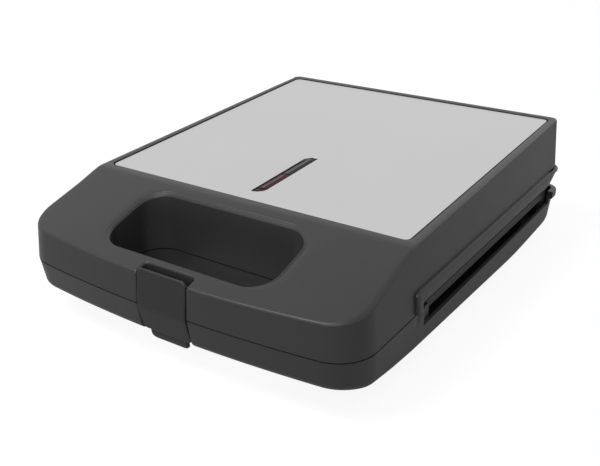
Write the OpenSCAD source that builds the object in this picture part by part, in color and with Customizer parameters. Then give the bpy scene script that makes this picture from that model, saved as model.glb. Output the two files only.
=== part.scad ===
// Four-slot sandwich toaster: a clamshell with a hand-hold through lid and base,
// a steel cover plate, a swinging latch and two non-stick cooking plates.
// Millimetres, +Z up, front (latch) towards -Y. Origin on the table, under the middle
// of the whole depth, so the latch and the cord gland reach equally far.

/* [Body] */
// Width over the walls at the line where lid and base meet
body_w = 270; // [260:1:300]
// Depth over the walls at the same line
body_d = 351; // [340:0.5:370]
// Height of that line above the table
part_z = 44; // [44:0.5:50]
// Radius of the front corners seen from above
corner_r = 30; // [20:1:34]
// Radius of the rear corners seen from above
rear_r = 12; // [10:1:16]
// Radius of the gently bowed front seen from above
bow_r = 940; // [600:10:1600]
// Thickness of the moulded walls
wall = 2.5; // [2:0.1:2.8]
// Gap that shows as a dark line between lid and base
shell_gap = 0.9; // [0.5:0.1:1.2]

/* [Lid] */
// Height of the lid's front edge above the parting line, in the middle
lid_front_h = 21.8; // [21.5:0.1:26]
// Height of the middle of the steel plate above the parting line
lid_plate_h = 50.2; // [49.8:0.1:60]
// Rise of the steel plate towards the rear, in degrees
lid_tilt = 2.3; // [0:0.1:2.5]
// Draft of the lid's walls, in degrees
lid_draft = 5; // [3:0.5:5.5]
// Edge radius beside the steel plate
plate_edge_r = 3; // [2:0.1:3.4]
// Edge radius along the sloping sides of the nose
side_edge_r = 9; // [4:0.5:10]
// Edge radius at the front of the nose
nose_edge_r = 1.6; // [1:0.1:3]
// Height of the raised lower edge of the lid above the parting line
lid_notch_h = 12; // [11:0.5:14]
// How far the rims of lid and base stand out from the walls
lip_out = 2.2; // [1:0.1:2.5]
// Height of the lid's rim above that edge
lip_h = 3; // [2:0.1:5]
// How far the rim hangs below that edge at the sides
skirt_h = 6; // [3:0.1:8]

/* [Steel plate] */
// Width of the plastic border beside the steel plate
side_border = 11; // [9:0.1:13]
// Width of the plastic border behind it
rear_border = 10.1; // [7.5:0.1:14]
// Distance from the hand-hold to the plate
hold_to_plate = 13.1; // [11:0.1:20]
// Thickness of the steel
plate_t = 0.8; // [0.5:0.1:1]
// How far the plate lies below its plastic border
plate_sunk = 0.5; // [0.2:0.1:0.8]
// Groove round the plate
plate_groove = 0.5; // [0.3:0.1:0.8]
// Corner radius of the plate
plate_r = 5; // [2:0.5:8]
// Width of the indicator window
lens_w = 8; // [6:0.5:12]
// Length of the indicator window
lens_l = 63.5; // [50:0.5:84]
// Slant of the window's ends: shift along the window per unit of width
lens_slant = 0.57; // [0:0.01:0.9]
// Distance of the window from the plate's front edge
lens_front = 16.2; // [10:0.1:40]

/* [Hand-hold] */
// Width of the opening
hold_w = 129; // [110:1:150]
// Depth of the opening
hold_d = 56; // [48:0.5:58]
// Corner radius of the opening
hold_r = 21; // [12:1:23]
// Thickness of the grip, from the front wall to the opening
hold_bar = 19.9; // [18:0.1:22]
// Width of the rolled edge round the opening
hold_lip = 2.5; // [2:0.5:5]

/* [Base] */
// Depth of the base below the parting line at the front
base_front_h = 21.2; // [20:0.1:24]
// Depth of the base below the parting line behind the hand-hold
base_mid_h = 27.7; // [27:0.1:30]
// Depth of the base below the parting line at its lowest, towards the rear
base_rear_h = 35; // [33:0.1:39]
// Rise of the underside from there to the rear wall
base_rear_rise = 4; // [2:0.5:6]
// Draft of the base's front wall, in degrees
base_front_draft = 10.5; // [4:0.5:12]
// Draft of the base's other walls, in degrees
base_draft = 2.5; // [1.5:0.5:4]
// Edge radius round the underside
base_edge_r = 5; // [3:0.5:7]
// Depth of the side cut-out below the parting line
base_notch_h = 14; // [12:0.1:16]
// Drop of the rear rim below the parting line
rear_rim_drop = 3.5; // [3:0.1:4.5]
// Height of the rear rim
rear_rim_h = 6.5; // [4:0.1:8]

/* [Latch] */
// Width of the latch
latch_w = 40; // [30:1:46]
// Thickness of the latch's face
latch_t = 3; // [2.4:0.1:3.4]
// How far the latch stands out from the front wall
latch_proud = 1.2; // [0.6:0.1:2.4]
// Clearance beside the latch in its channel
latch_gap = 0.6; // [0.4:0.1:1]
// Depth of the latch channel in the lid
latch_deep = 10.5; // [10:0.1:11]
// How far the latch reaches above the lid's front edge
latch_over = 2; // [0:0.1:3]
// Width of the finger tongue under the latch
tongue_w = 27; // [18:1:30]
// Radius of the latch pin
latch_pin_r = 1.5; // [1.2:0.1:1.8]

/* [Hinge] */
// Radius of the hinge pins
pin_r = 2; // [1.5:0.1:2.5]
// Outer radius of the hinge knuckles
knuckle_r = 5.5; // [4.5:0.1:5.8]
// Distance between the middles of the two hinges
hinge_pitch = 160; // [120:1:190]
// Width of the lid's knuckle
knuckle_w = 16; // [10:1:24]
// Width of each lug on the base
lug_w = 8; // [6:1:12]
// Side clearance between knuckle and lugs
hinge_side_gap = 0.4; // [0.3:0.1:1]
// Radial clearance of the pins in the lid's knuckles
run_gap = 0.06; // [0.02:0.01:0.1]

/* [Cooking plates] */
// Wall of the frames that carry the cooking plates
frame_wall = 2; // [1.5:0.1:2.5]
// Gap between the frames, and between cooking plate and frame
frame_gap = 0.4; // [0.3:0.1:0.8]
// Visible height of the lower frame
frame_h = 6; // [5:0.5:8]
// Thickness of the cooking plates
cook_t = 2.4; // [2:0.1:3]
// Half the height of a sandwich
mould_h = 9.6; // [7:0.1:10]
// Width of the ridge that cuts a sandwich in two
ridge_w = 5; // [4:0.5:9]
// Width of the flat between two moulds
mould_land = 14; // [13:0.5:16]
// Corner radius of the moulds
mould_r = 7; // [4:1:9]

/* [Heating] */
// Diameter of the tubular heating elements
heater_dia = 6.4; // [5:0.1:6.6]
// Thickness of the sheet-metal reflectors
sheet_t = 0.8; // [0.5:0.1:1.2]
// Diameter of the thermostat
stat_dia = 15; // [12:0.5:16]
// Height of the thermostat
stat_h = 8; // [6:0.5:9]
// Diameter of the neon lamps
lamp_dia = 6; // [4:0.5:6.5]
// Diameter of the screws
screw_dia = 3.5; // [3:0.1:4]

/* [Feet and gland] */
// Diameter of the rubber feet
foot_dia = 18; // [12:1:22]
// Height of the rubber part of a foot
foot_h = 4; // [3:0.5:4.5]
// Distance of the feet from the sides
foot_inset = 40; // [35:1:60]
// Outer diameter of the cord gland
gland_dia = 15; // [13:0.5:16]
// How far the cord gland stands out from the rear wall
gland_out = 2.8; // [2.4:0.1:5]
// Bore of the cord gland
gland_bore = 7.5; // [6:0.1:8]

/* [Hidden] */

$fn = 48;
eps = 0.01;
fit = 0.02;
black = [0.20, 0.20, 0.20];
coat = [0.13, 0.13, 0.135];
steel = [0.78, 0.78, 0.77];
bright = [0.72, 0.72, 0.70];

half_w = body_w / 2;
y_mid = (latch_proud - gland_out) / 2;
y_front = y_mid - body_d / 2;
y_rear = y_mid + body_d / 2;
lid_slope = tan(lid_draft);
lid_z0 = part_z + shell_gap / 2;
base_z1 = part_z - shell_gap / 2;

// Hand-hold and steel plate, one behind the other
hold_y0 = y_front + hold_bar;
hold_y1 = hold_y0 + hold_d;
hold_yc = (hold_y0 + hold_y1) / 2;
plate_w = body_w - 2 * side_border;
plate_y0 = hold_y1 + hold_to_plate;
plate_d = y_rear - rear_border - plate_y0;
plate_yc = plate_y0 + plate_d / 2;
plate_rise = tan(lid_tilt);
plate_zc = part_z + lid_plate_h;
skin_in = plate_sunk - wall;

// The nose in front of the plate
nose_y = (hold_y1 + plate_y0) / 2;
nose_top = deck_z(nose_y);
nose_drop = nose_top - part_z - lid_front_h;
nose_run = nose_y - (y_front + lid_front_h * lid_slope);
nose_a = atan(nose_drop / nose_run);

// Latch
latch_x = latch_w / 2 + latch_gap;
latch_y = y_front - latch_proud;
latch_back = y_front + latch_deep;
latch_pin_y = latch_back - 5.2;
latch_pin_z = part_z + lid_front_h - 4.6;
latch_top = part_z + lid_front_h + latch_over;
latch_foot = part_z - base_front_h + 6.6;
base_back = latch_y + 10.1;
rib_y = latch_y + latch_t + 2.6;

// Hinge axis, in the gap between the rear rims
lid_edge_z = part_z + lid_notch_h;
rear_rim_z = part_z - rear_rim_drop;
hinge_z = (lid_edge_z + rear_rim_z) / 2;
hinge_y = y_rear - 4.25;
lug_x0 = knuckle_w / 2 + hinge_side_gap;

// Frames and cooking plates, mirrored about the line where they meet
meet_z = part_z - 2.3;
frame_y0 = plate_y0 + 14.6;
frame_y1 = hinge_y - knuckle_r - 1;
frame_x = half_w - 4.8;
frame_dy = (frame_y1 - frame_y0) / 2;
frame_yc = (frame_y0 + frame_y1) / 2;
cook_x = frame_x - frame_wall - frame_gap;
cook_y = frame_dy - frame_wall - frame_gap;
cook_face = 0.7;
heat_z = cook_face + cook_t;
loop_x = cook_x - heater_dia / 2 - 2.4;
loop_y = cook_y - heater_dia / 2 - 2.4;
loop_z = heat_z + heater_dia / 2 + 0.1;
loop_r = 14;
block_x = loop_x - heater_dia / 2 - 0.4;
block_y = loop_y - heater_dia / 2 - 0.4;
mould_w = block_x - cook_t - mould_land / 2;
mould_d = block_y - cook_t - mould_land / 2;
mount_h = lid_edge_z + 4 - meet_z;
pillar = 4.6;
pillar_d = 9;
reflect_z = cook_face + mould_h + cook_t;

// The raised edge of the lid starts at notch_y, the slot in the base at slot_y
notch_y = plate_y0 - 1.4;
slot_y = frame_y0 - 2;
slot_end = frame_y1 - 1.4;

// Handle covers and their screws
cover_t = 2;
cover_z = 2;
cover_gap = 0.3;
cover_x = hold_w / 2 + 16;

// Feet
foot_x = half_w - foot_inset;
foot_yf = hold_y1 + 16;
foot_yr = y_rear - 46;
// Where the underside is lowest
low_y = y_rear - 90;

// Heights of the outer skins along the middle
function deck_z(y) = plate_zc + plate_sunk + (y - plate_yc) * plate_rise;
function top_z(y) = y > nose_y ? deck_z(y) : nose_top - (nose_y - y) * nose_drop / nose_run;
// The underside falls towards the rear and rises again near the rear wall
function belly_z(y) = part_z - (
    y > low_y ? base_rear_h - (y - low_y) * base_rear_rise / (y_rear - low_y) :
    y > nose_y ? base_mid_h + (y - nose_y) * (base_rear_h - base_mid_h) / (low_y - nose_y) :
    base_mid_h - (nose_y - y) * (base_mid_h - base_front_h) / (nose_y - y_front));

function ramp(t) = let (c = min(1, max(0, t))) c * c * (3 - 2 * c);
// Edge radius of the lid: crisp at the front, wide on the nose's sides, small at the plate
function edge_r(y) = y < nose_y - 25
    ? nose_edge_r + (side_edge_r - nose_edge_r) * ramp((y - y_front - 4) / 24)
    : side_edge_r + (plate_edge_r - side_edge_r) * ramp((y - nose_y + 25) / 25);
// The base leans in at the front and stands almost upright elsewhere
function base_lean(y) = tan(base_front_draft
    + (base_draft - base_front_draft) * ramp((y - y_front - 5) / corner_r));

function arc(cx, cy, r, a0, a1, n) =
    [for (i = [0:n]) [cx + r * cos(a0 + (a1 - a0) * i / n), cy + r * sin(a0 + (a1 - a0) * i / n)]];

// Outline seen from above, moved inwards by g: bowed front, then the corners anticlockwise
corner_x = half_w - corner_r;
bow_y = y_front + bow_r;
corner_y = bow_y - sqrt(pow(bow_r - corner_r, 2) - pow(corner_x, 2));
bow_a = atan2(corner_y - bow_y, corner_x);
// Stations along the sides, close together where the nose meets the deck
side_y = [for (d = [-25, -12, -3, 3]) nose_y + d];
base_side_y = concat(side_y, low_y);
function outline(g, n = 6, side = side_y) = concat(
    arc(0, bow_y, bow_r - g, -180 - bow_a, bow_a, 2 * n),
    arc(corner_x, corner_y, corner_r - g, bow_a, 0, n),
    [for (y = side) [half_w - g, y]],
    arc(half_w - rear_r, y_rear - rear_r, rear_r - g, 0, 90, 4),
    arc(rear_r - half_w, y_rear - rear_r, rear_r - g, 90, 180, 4),
    [for (i = [len(side) - 1:-1:0]) [g - half_w, side[i]]],
    arc(-corner_x, corner_y, corner_r - g, 180, 180 - bow_a, n));

module cloud(points) {
    hull() polyhedron(points, [for (i = [0:len(points) - 3]) [i, i + 1, i + 2]]);
}

// Lid's skin, t inside the outer one: a drafted wall, a quarter-round edge and the top
module lid_skin(t = 0, low = 0) {
    steps = t > 0 ? [0, 45, 90] : [0, 30, 60, 90];
    foot = outline(t);
    cloud(concat(
        [for (p = foot) [p[0], p[1], part_z - low]],
        [for (a = steps, i = [0:len(foot) - 1])
            let (r = max(0.5, edge_r(foot[i][1]) - t / 2),
                wall_top = top_z(foot[i][1]) - t - r,
                g = t + (wall_top - part_z) * lid_slope + r * (1 - cos(a)),
                q = outline(g)[i])
            [q[0], q[1], top_z(q[1]) - t - r * (1 - sin(a))]]));
}

module base_skin(t = 0, high = 0) {
    steps = t > 0 ? [0, 90] : [0, 30, 60, 90];
    foot = outline(t, side = base_side_y);
    cloud(concat(
        [for (p = foot) [p[0], p[1], part_z + high]],
        [for (a = steps, i = [0:len(foot) - 1])
            let (r = max(0.5, base_edge_r - t),
                wall_low = belly_z(foot[i][1]) + t + r,
                g = t + (part_z - wall_low) * base_lean(foot[i][1]) + r * (1 - cos(a)),
                q = outline(g, side = base_side_y)[i])
            [q[0], q[1], belly_z(q[1]) + t + r * (1 - sin(a))]]));
}

module round_rect(w, d, r) {
    x = w / 2 - r;
    y = d / 2 - r;
    polygon(concat(arc(x, y, r, 0, 90, 6), arc(-x, y, r, 90, 180, 6),
        arc(-x, -y, r, 180, 270, 6), arc(x, -y, r, 270, 360, 6)));
}

// The hand-hold's opening, grown by g, from z0 to z1
module hold(g, z0, z1) {
    translate([0, hold_yc, z0])
        linear_extrude(z1 - z0) round_rect(hold_w + 2 * g, hold_d + 2 * g, hold_r + g);
}

module box(x0, x1, y0, y1, z0, z1) {
    translate([x0, y0, z0]) cube([x1 - x0, y1 - y0, z1 - z0]);
}

module x_rod(r, x0, x1, y, z) {
    translate([x0, y, z]) rotate([0, 90, 0]) cylinder(r = r, h = x1 - x0);
}

// Tilted with the steel plate: z = 0 is the plate's upper face at its middle
module on_plate() {
    translate([0, plate_yc, plate_zc]) rotate([lid_tilt, 0, 0]) children();
}

// At the four screws of a frame, and at the two of a handle cover
module frame_screws() {
    for (x = [-1, 1], y = [-1, 1])
        translate([x * (frame_x - pillar), frame_yc + y * (frame_dy - pillar), 0]) children();
}
module cover_screws() {
    for (x = [-1, 1]) translate([x * cover_x, hold_yc, 0]) children();
}

// ---------------------------------------------------------------- lid shell

// A rim along the outline between two heights, standing lip_out proud of a wall at inset g
module rim(g, z0, z1, y0, y1) {
    intersection() {
        translate([0, 0, z0]) linear_extrude(z1 - z0) difference() {
            polygon(outline(g - lip_out));
            polygon(outline(g + wall));
        }
        box(-body_w, body_w, y0, y1, z0 - 1, z1 + 1);
    }
}

module lid_rim() {
    g = lid_notch_h * lid_slope;
    rim(g, lid_edge_z, lid_edge_z + lip_h, notch_y, body_d);
    rim(g, lid_edge_z - skirt_h, lid_edge_z, notch_y - eps, slot_end - 2);
    rim(g, lid_z0, lid_edge_z + lip_h, notch_y - lip_h, notch_y);
    // Inner wall from the front end of the raised edge to the frame
    for (s = [-1, 1]) scale([s, 1, 1]) {
        box(frame_x + 0.3, frame_x + 1.5, notch_y - lip_h, frame_y0 + 6, lid_z0, lid_edge_z + 6);
        box(frame_x + 0.3, half_w - wall / 2, notch_y - lip_h, notch_y - 1, lid_z0, lid_edge_z);
    }
}

module lid_knuckles() {
    for (s = [-1, 1]) translate([s * hinge_pitch / 2, 0, 0]) {
        x_rod(knuckle_r, -knuckle_w / 2, knuckle_w / 2, hinge_y, hinge_z);
        box(-knuckle_w / 2, knuckle_w / 2, hinge_y - knuckle_r, hinge_y + 2,
            hinge_z, lid_edge_z + 8);
    }
}

// Rolled mouth of the hand-hold, square to the slope of the nose: a quarter round in
// two chords, each given as [depth, height, width at its foot, width at its top]
module hold_mouth() {
    translate([0, hold_yc, top_z(hold_yc)]) rotate([nose_a, 0, 0])
        for (q = [[1, 0.7, 0, 0.29], [0.3, 0.6, 0.29, 1.71]]) {
            w = hold_w + 2 * q[2] * hold_lip;
            d = hold_d / cos(nose_a) + 2 * q[2] * hold_lip;
            grow = 2 * (q[3] - q[2]) * hold_lip;
            translate([0, 0, -q[0] * hold_lip])
                linear_extrude(q[1] * hold_lip, scale = [1 + grow / w, 1 + grow / d],
                    slices = 1) round_rect(w, d, hold_r);
        }
}

module lid_shell() color(black) difference() {
    union() {
        difference() {
            lid_skin();
            lid_skin(wall, 1);
            box(-body_w, body_w, notch_y, body_d, 0, lid_edge_z);
        }
        intersection() {
            lid_skin(wall / 2);
            union() {
                hold(wall, part_z, plate_zc);
                box(-latch_x - wall, latch_x + wall, y_front, latch_back + 1.5,
                    part_z, plate_zc);
                frame_screws() translate([0, 0, meet_z + mount_h]) cylinder(d = pillar_d, h = 60);
                cover_screws() translate([0, 0, part_z + cover_z + cover_t])
                    cylinder(d = pillar_d, h = 60);
            }
        }
        lid_rim();
        lid_knuckles();
    }
    box(-body_w, body_w, -body_d, 0, 0, lid_z0);
    hold(0, 0, 2 * plate_zc);
    hold_mouth();
    box(-latch_x, latch_x, -body_d, latch_back, 0, 2 * plate_zc);
    // Seat of the steel plate, and the window through it
    on_plate() translate([0, 0, -plate_t]) linear_extrude(20)
        round_rect(plate_w + 2 * plate_groove, plate_d + 2 * plate_groove, plate_r);
    on_plate() translate([0, 0, -20]) linear_extrude(30) lens_shape(0.2);
    for (s = [-1, 1]) x_rod(pin_r + run_gap, s * hinge_pitch / 2 - knuckle_w,
        s * hinge_pitch / 2 + knuckle_w, hinge_y, hinge_z);
    x_rod(latch_pin_r + fit, -latch_x - wall - 1, latch_x + wall + 1, latch_pin_y, latch_pin_z);
    frame_screws() cylinder(d = screw_dia + fit, h = meet_z + mount_h + 10);
    cover_screws() cylinder(d = screw_dia + fit, h = part_z + cover_z + 12);
}

// ---------------------------------------------------------------- steel plate and lamps

lens_y0 = -plate_d / 2 + lens_front;
lens_ym = lens_y0 + lens_l / 2;
lens_low = skin_in - 1.5;

// The window, grown by g, with both ends cut on the same slant
module lens_shape(g) {
    w = lens_w / 2 + g;
    l = lens_l / 2 + g;
    slant = lens_slant * w;
    translate([0, lens_ym]) polygon([[-w, -l - slant], [w, slant - l], [w, l + slant],
        [-w, l - slant]]);
}

module top_plate() color(steel) on_plate() translate([0, 0, -plate_t])
    linear_extrude(plate_t) difference() {
        round_rect(plate_w, plate_d, plate_r - plate_groove);
        lens_shape(0.1);
    }

// One lens: it fills half the window and is held by a flange under the shell
module lens(s) {
    h = lens_l / 2 + 2 + lens_slant * lens_w / 2;
    on_plate() intersection() {
        union() {
            translate([0, 0, lens_low]) linear_extrude(-lens_low - 0.2) lens_shape(0);
            translate([0, 0, lens_low]) linear_extrude(1.5) translate([0, lens_ym])
                square([lens_w + 5, 2 * h], center = true);
        }
        translate([0, lens_ym + s * (h / 2 + 0.1), 0]) cube([50, h, 50], center = true);
    }
}

module power_lens() color([0.55, 0.10, 0.13]) lens(-1);
module ready_lens() color([0.18, 0.18, 0.19]) lens(1);

module lamp_places() {
    on_plate() for (s = [-1, 1]) translate([0, lens_ym + s * lens_l / 4, lens_low - lamp_dia / 2])
        rotate([90, 0, 0]) children();
}

module lamp_holder() color(bright) difference() {
    on_plate() translate([-lens_w / 2 - 3, lens_ym - lens_l / 2 + 3, lens_low - lamp_dia - 2])
        cube([lens_w + 6, lens_l - 6, lamp_dia + 2]);
    lamp_places() cylinder(d = lamp_dia + 0.2, h = 18.4, center = true);
    lamp_places() translate([0, lamp_dia / 2, 0])
        cube([lamp_dia, lamp_dia, 18.4], center = true);
}

module neon_lamps() color([0.85, 0.45, 0.25]) lamp_places()
    translate([0, -0.1, 0]) cylinder(d = lamp_dia - 0.1, h = 18, center = true);

// ---------------------------------------------------------------- handle covers

// Panel that closes the grip zone, drawn for the lid; the base's is its mirror image
module handle_cover(lean, channel_y) {
    difference() {
        translate([0, 0, cover_z]) linear_extrude(cover_t) intersection() {
            polygon(outline(wall + cover_gap + (cover_z + cover_t) * lean));
            translate([-body_w, -body_d]) square([2 * body_w, body_d + frame_y0 - cover_gap]);
        }
        hold(wall + cover_gap, 0, 10);
        box(-latch_x - wall - cover_gap, latch_x + wall + cover_gap, -body_d,
            channel_y + cover_gap, 0, 10);
        // Room for the inner walls beside the front end of the raised edge
        for (s = [-1, 1]) translate([s * half_w, (notch_y + frame_y0) / 2, 5])
            cube([2 * (half_w - frame_x), frame_y0 - notch_y + 20, 10], center = true);
        cover_screws() cylinder(d = screw_dia + fit, h = 10);
    }
}

module lid_handle_cover() color(black) translate([0, 0, part_z])
    handle_cover(lid_slope, latch_back + 1.5);
module base_handle_cover() color(black) translate([0, 0, part_z]) mirror([0, 0, 1])
    handle_cover(tan(base_front_draft), base_back + 1.5);

// ---------------------------------------------------------------- frames and cooking plates

// Children are drawn with z pointing away from the meeting line
module half(up) {
    translate([0, frame_yc, meet_z]) mirror([0, 0, up ? 0 : 1]) children();
}

module frame_plan(g, r) {
    round_rect(2 * (frame_x - g), 2 * (frame_dy - g), r);
}

module frame(h) {
    difference() {
        union() {
            translate([0, 0, frame_gap]) linear_extrude(h) difference() {
                frame_plan(0, 6);
                frame_plan(frame_wall, 6 - frame_wall);
            }
            // Ledge behind the edge of the cooking plate
            translate([0, 0, heat_z]) linear_extrude(1.6) difference() {
                frame_plan(frame_wall / 2, 5);
                frame_plan(frame_wall + frame_gap + 1.8, 4);
            }
            // Pillars in the corners, screwed to the shell
            intersection() {
                translate([0, -frame_yc, heat_z]) frame_screws()
                    cylinder(d = pillar_d, h = mount_h - heat_z);
                linear_extrude(60) frame_plan(0, 6);
            }
        }
        translate([0, -frame_yc, -1]) frame_screws() cylinder(d = screw_dia + fit, h = 60);
        translate([0, -frame_yc, heat_z - 1]) frame_screws() cylinder(d = 7, h = 6);
    }
}

module upper_frame() color(black) half(true) frame(lid_notch_h + 6);
module lower_frame() color(black) half(false) frame(frame_h);

// Half of one mould, its square corner at the origin, narrowing upwards
module mould_half() {
    c = norm([mould_w, mould_d]);
    k = 1 - ridge_w / 2 * c / (mould_w * mould_d);
    a = mould_w * k;
    b = mould_d * k;
    r = a * b / (a + b + norm([a, b]));
    translate([r, r, 0]) linear_extrude(mould_h, scale = (r - 0.45 * mould_h) / r)
        offset(r = mould_r, $fn = 24) offset(delta = -mould_r)
            translate([-r, -r]) polygon([[0, 0], [a, 0], [0, b]]);
}

module each_mould() {
    for (x = [0, 1], y = [0, 1]) mirror([x, 0, 0]) mirror([0, y, 0])
        translate([mould_land / 2, mould_land / 2, cook_face]) children();
}

// Saddles cast on the back of the plate carry the heating element
module saddles() {
    w = heater_dia + 4;
    for (s = [-1, 1]) {
        for (y = [-0.7, 0, 0.7])
            translate([s * loop_x, y * loop_y, heat_z + heater_dia / 4])
                cube([w, 8, heater_dia / 2], center = true);
        for (x = [-0.55, 0.55])
            translate([x * loop_x, s * loop_y, heat_z + heater_dia / 4])
                cube([8, w, heater_dia / 2], center = true);
    }
}

module cooking_plate() {
    difference() {
        union() {
            translate([0, 0, cook_face]) linear_extrude(cook_t)
                round_rect(2 * cook_x, 2 * cook_y, 4);
            each_mould() translate([mould_w / 2, mould_d / 2, 0])
                linear_extrude(mould_h + cook_t, scale = 0.9)
                    round_rect(mould_w + 2 * cook_t, mould_d + 2 * cook_t, mould_r);
            intersection() {
                saddles();
                translate([0, 0, heat_z - 1]) linear_extrude(20)
                    round_rect(2 * cook_x - 4, 2 * cook_y - 4, 4);
            }
        }
        each_mould() {
            translate([0, 0, -eps]) mould_half();
            translate([mould_w, mould_d, -eps]) rotate(180) mould_half();
        }
        heater_loop(heater_dia + 0.1);
    }
}

module upper_cooking_plate() color(coat) half(true) cooking_plate();
module lower_cooking_plate() color(coat) half(false) cooking_plate();

// ---------------------------------------------------------------- heating

tail = 13;

// One loop round the four moulds, open at the rear
module heater_loop(d) {
    x = loop_x - loop_r;
    y = loop_y - loop_r;
    translate([0, 0, loop_z]) {
        for (c = [[x, y, 0], [-x, y, 90], [-x, -y, 180], [x, -y, 270]])
            translate([c[0], c[1], 0]) rotate(c[2]) rotate_extrude(angle = 90)
                translate([loop_r, 0]) circle(d = d, $fn = 24);
        for (s = [-1, 1]) {
            translate([s * loop_x, 0, 0]) rotate([90, 0, 0])
                cylinder(d = d, h = 2 * y, center = true, $fn = 24);
            translate([s * (x + tail) / 2, loop_y, 0]) rotate([0, 90, 0])
                cylinder(d = d, h = x - tail, center = true, $fn = 24);
        }
        translate([0, -loop_y, 0]) rotate([0, 90, 0])
            cylinder(d = d, h = 2 * x, center = true, $fn = 24);
    }
}

// Cold ends with ceramic beads and terminal pins
module heater() {
    heater_loop(heater_dia);
    for (s = [-1, 1]) translate([s * tail, loop_y, loop_z - heater_dia / 2]) {
        cylinder(d = heater_dia + 1.6, h = heater_dia + 5);
        cylinder(d = 2.5, h = heater_dia + 9, $fn = 24);
    }
}

module upper_heater() color(bright) half(true) heater();
module lower_heater() color(bright) half(false) heater();

// Sheet-metal tray that lies on the backs of the moulds
module reflector() {
    x = loop_x + heater_dia / 2;
    y = loop_y + heater_dia / 2;
    difference() {
        translate([0, 0, reflect_z - 3]) linear_extrude(3 + sheet_t) round_rect(2 * x, 2 * y, 24);
        translate([0, 0, reflect_z - 4]) linear_extrude(4)
            round_rect(2 * (x - sheet_t), 2 * (y - sheet_t), 24 - sheet_t);
        box(-tail - 9, tail + 9, loop_y - heater_dia - 2, 2 * y, 0, 60);
        cylinder(d = stat_dia + 4, h = 60);
    }
}

module upper_reflector() color(bright) half(true) reflector();
module lower_reflector() color(bright) half(false) reflector();

// Bimetal thermostat on the crossing of the lands
module thermostat() color([0.80, 0.77, 0.68]) half(true) translate([0, 0, heat_z]) {
    cylinder(d = stat_dia, h = stat_h);
    for (s = [-1, 1]) translate([s * stat_dia / 4, 0, stat_h])
        translate([-0.4, -3, -eps]) cube([0.8, 6, 7]);
}

module thermal_fuse() color([0.75, 0.72, 0.60]) half(true)
    translate([0, stat_dia / 2 + 14, heat_z + 2.6]) rotate([90, 0, 0]) {
        cylinder(d = 5, h = 12, center = true, $fn = 24);
        cylinder(d = 1, h = 22, center = true, $fn = 24);
    }

// ---------------------------------------------------------------- screws and pins

module screw(len) {
    cylinder(d = screw_dia, h = len, $fn = 24);
    cylinder(d = 6.6, h = 1.8);
}

// Four for a frame and two for a handle cover, heads towards the meeting line
module screws() {
    translate([0, 0, heat_z + 5 - 1.8]) frame_screws() screw(mount_h - heat_z + 3);
}

module upper_screws() color(bright) {
    translate([0, 0, meet_z]) screws();
    cover_screws() translate([0, 0, part_z + cover_z - 1.8]) screw(12);
}

module lower_screws() color(bright) {
    translate([0, 0, meet_z]) mirror([0, 0, 1]) screws();
    cover_screws() translate([0, 0, part_z - cover_z + 1.8]) mirror([0, 0, 1]) screw(12);
}

module latch_pin() color(bright)
    x_rod(latch_pin_r, -latch_x - wall, latch_x + wall, latch_pin_y, latch_pin_z);

module hinge_pins() color(bright) {
    w = lug_x0 + lug_w;
    for (s = [-1, 1]) x_rod(pin_r, s * hinge_pitch / 2 - w, s * hinge_pitch / 2 + w,
        hinge_y, hinge_z);
}

// ---------------------------------------------------------------- latch

// Side view: y is the first coordinate, z the second
module latch_side() {
    top_y = latch_y + (latch_top - part_z) * lid_slope;
    low_y = latch_y + (part_z - latch_foot) * tan(base_front_draft);
    polygon([[top_y + 0.6, latch_top], [top_y, latch_top - 0.8], [latch_y, part_z],
        [low_y, latch_foot + 0.5], [low_y + 0.6, latch_foot],
        [low_y + latch_t, latch_foot], [latch_y + latch_t, part_z],
        [top_y + latch_t, latch_top]]);
    // Arm to the pin
    polygon([[latch_y + latch_t, latch_pin_z - 9], [latch_y + latch_t, latch_pin_z + 3.6],
        [latch_pin_y, latch_pin_z + 3.6], [latch_pin_y + 1, latch_pin_z - 3.6]]);
}

// Finger tongue that curls under the grip
module tongue_side() {
    y = latch_y + (part_z - latch_foot) * tan(base_front_draft);
    polygon([[y + 0.8, latch_foot + 2], [y + 0.8, latch_foot - 4],
        [y + 1.8, latch_foot - 7], [y + 3.4, latch_foot - 8.9], [y + 5.6, latch_foot - 9.6],
        [y + 7.6, latch_foot - 9.6], [y + 7.6, latch_foot - 8.2],
        [y + 6, latch_foot - 8], [y + 4.4, latch_foot - 7], [y + 3.2, latch_foot - 4],
        [y + 3, latch_foot + 2]]);
}

module side_plate(w) {
    rotate([90, 0, 90]) translate([0, 0, -w / 2]) linear_extrude(w) children();
}

module latch() color([0.16, 0.16, 0.165]) difference() {
    union() {
        intersection() {
            side_plate(latch_w) latch_side();
            // Front view with rounded upper corners
            translate([0, 0, part_z]) rotate([90, 0, 0]) linear_extrude(2 * body_d, center = true)
                translate([0, (latch_top + latch_foot) / 2 - part_z])
                    round_rect(latch_w, latch_top - latch_foot, 3);
        }
        side_plate(tongue_w) tongue_side();
        x_rod(3.6, -latch_w / 2, latch_w / 2, latch_pin_y, latch_pin_z);
    }
    x_rod(latch_pin_r + run_gap, -latch_w, latch_w, latch_pin_y, latch_pin_z);
    // Hollow between the two arms
    box(-latch_w / 2 + 5, latch_w / 2 - 5, latch_y + latch_t + 1.4, y_front + 20,
        latch_foot, latch_pin_z - 4);
}

// ---------------------------------------------------------------- base

module base_lugs() {
    for (s = [-1, 1], t = [-1, 1]) translate([s * hinge_pitch / 2 + t * (lug_x0 + lug_w / 2), 0, 0]) {
        x_rod(knuckle_r, -lug_w / 2, lug_w / 2, hinge_y, hinge_z);
        box(-lug_w / 2, lug_w / 2, hinge_y - knuckle_r, hinge_y + 1.5,
            rear_rim_z - 12, hinge_z);
    }
}

module foot_places() {
    for (s = [-1, 1]) {
        translate([s * foot_x, foot_yf, 0]) children();
        translate([s * foot_x, foot_yr, 0]) children();
    }
}

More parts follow.
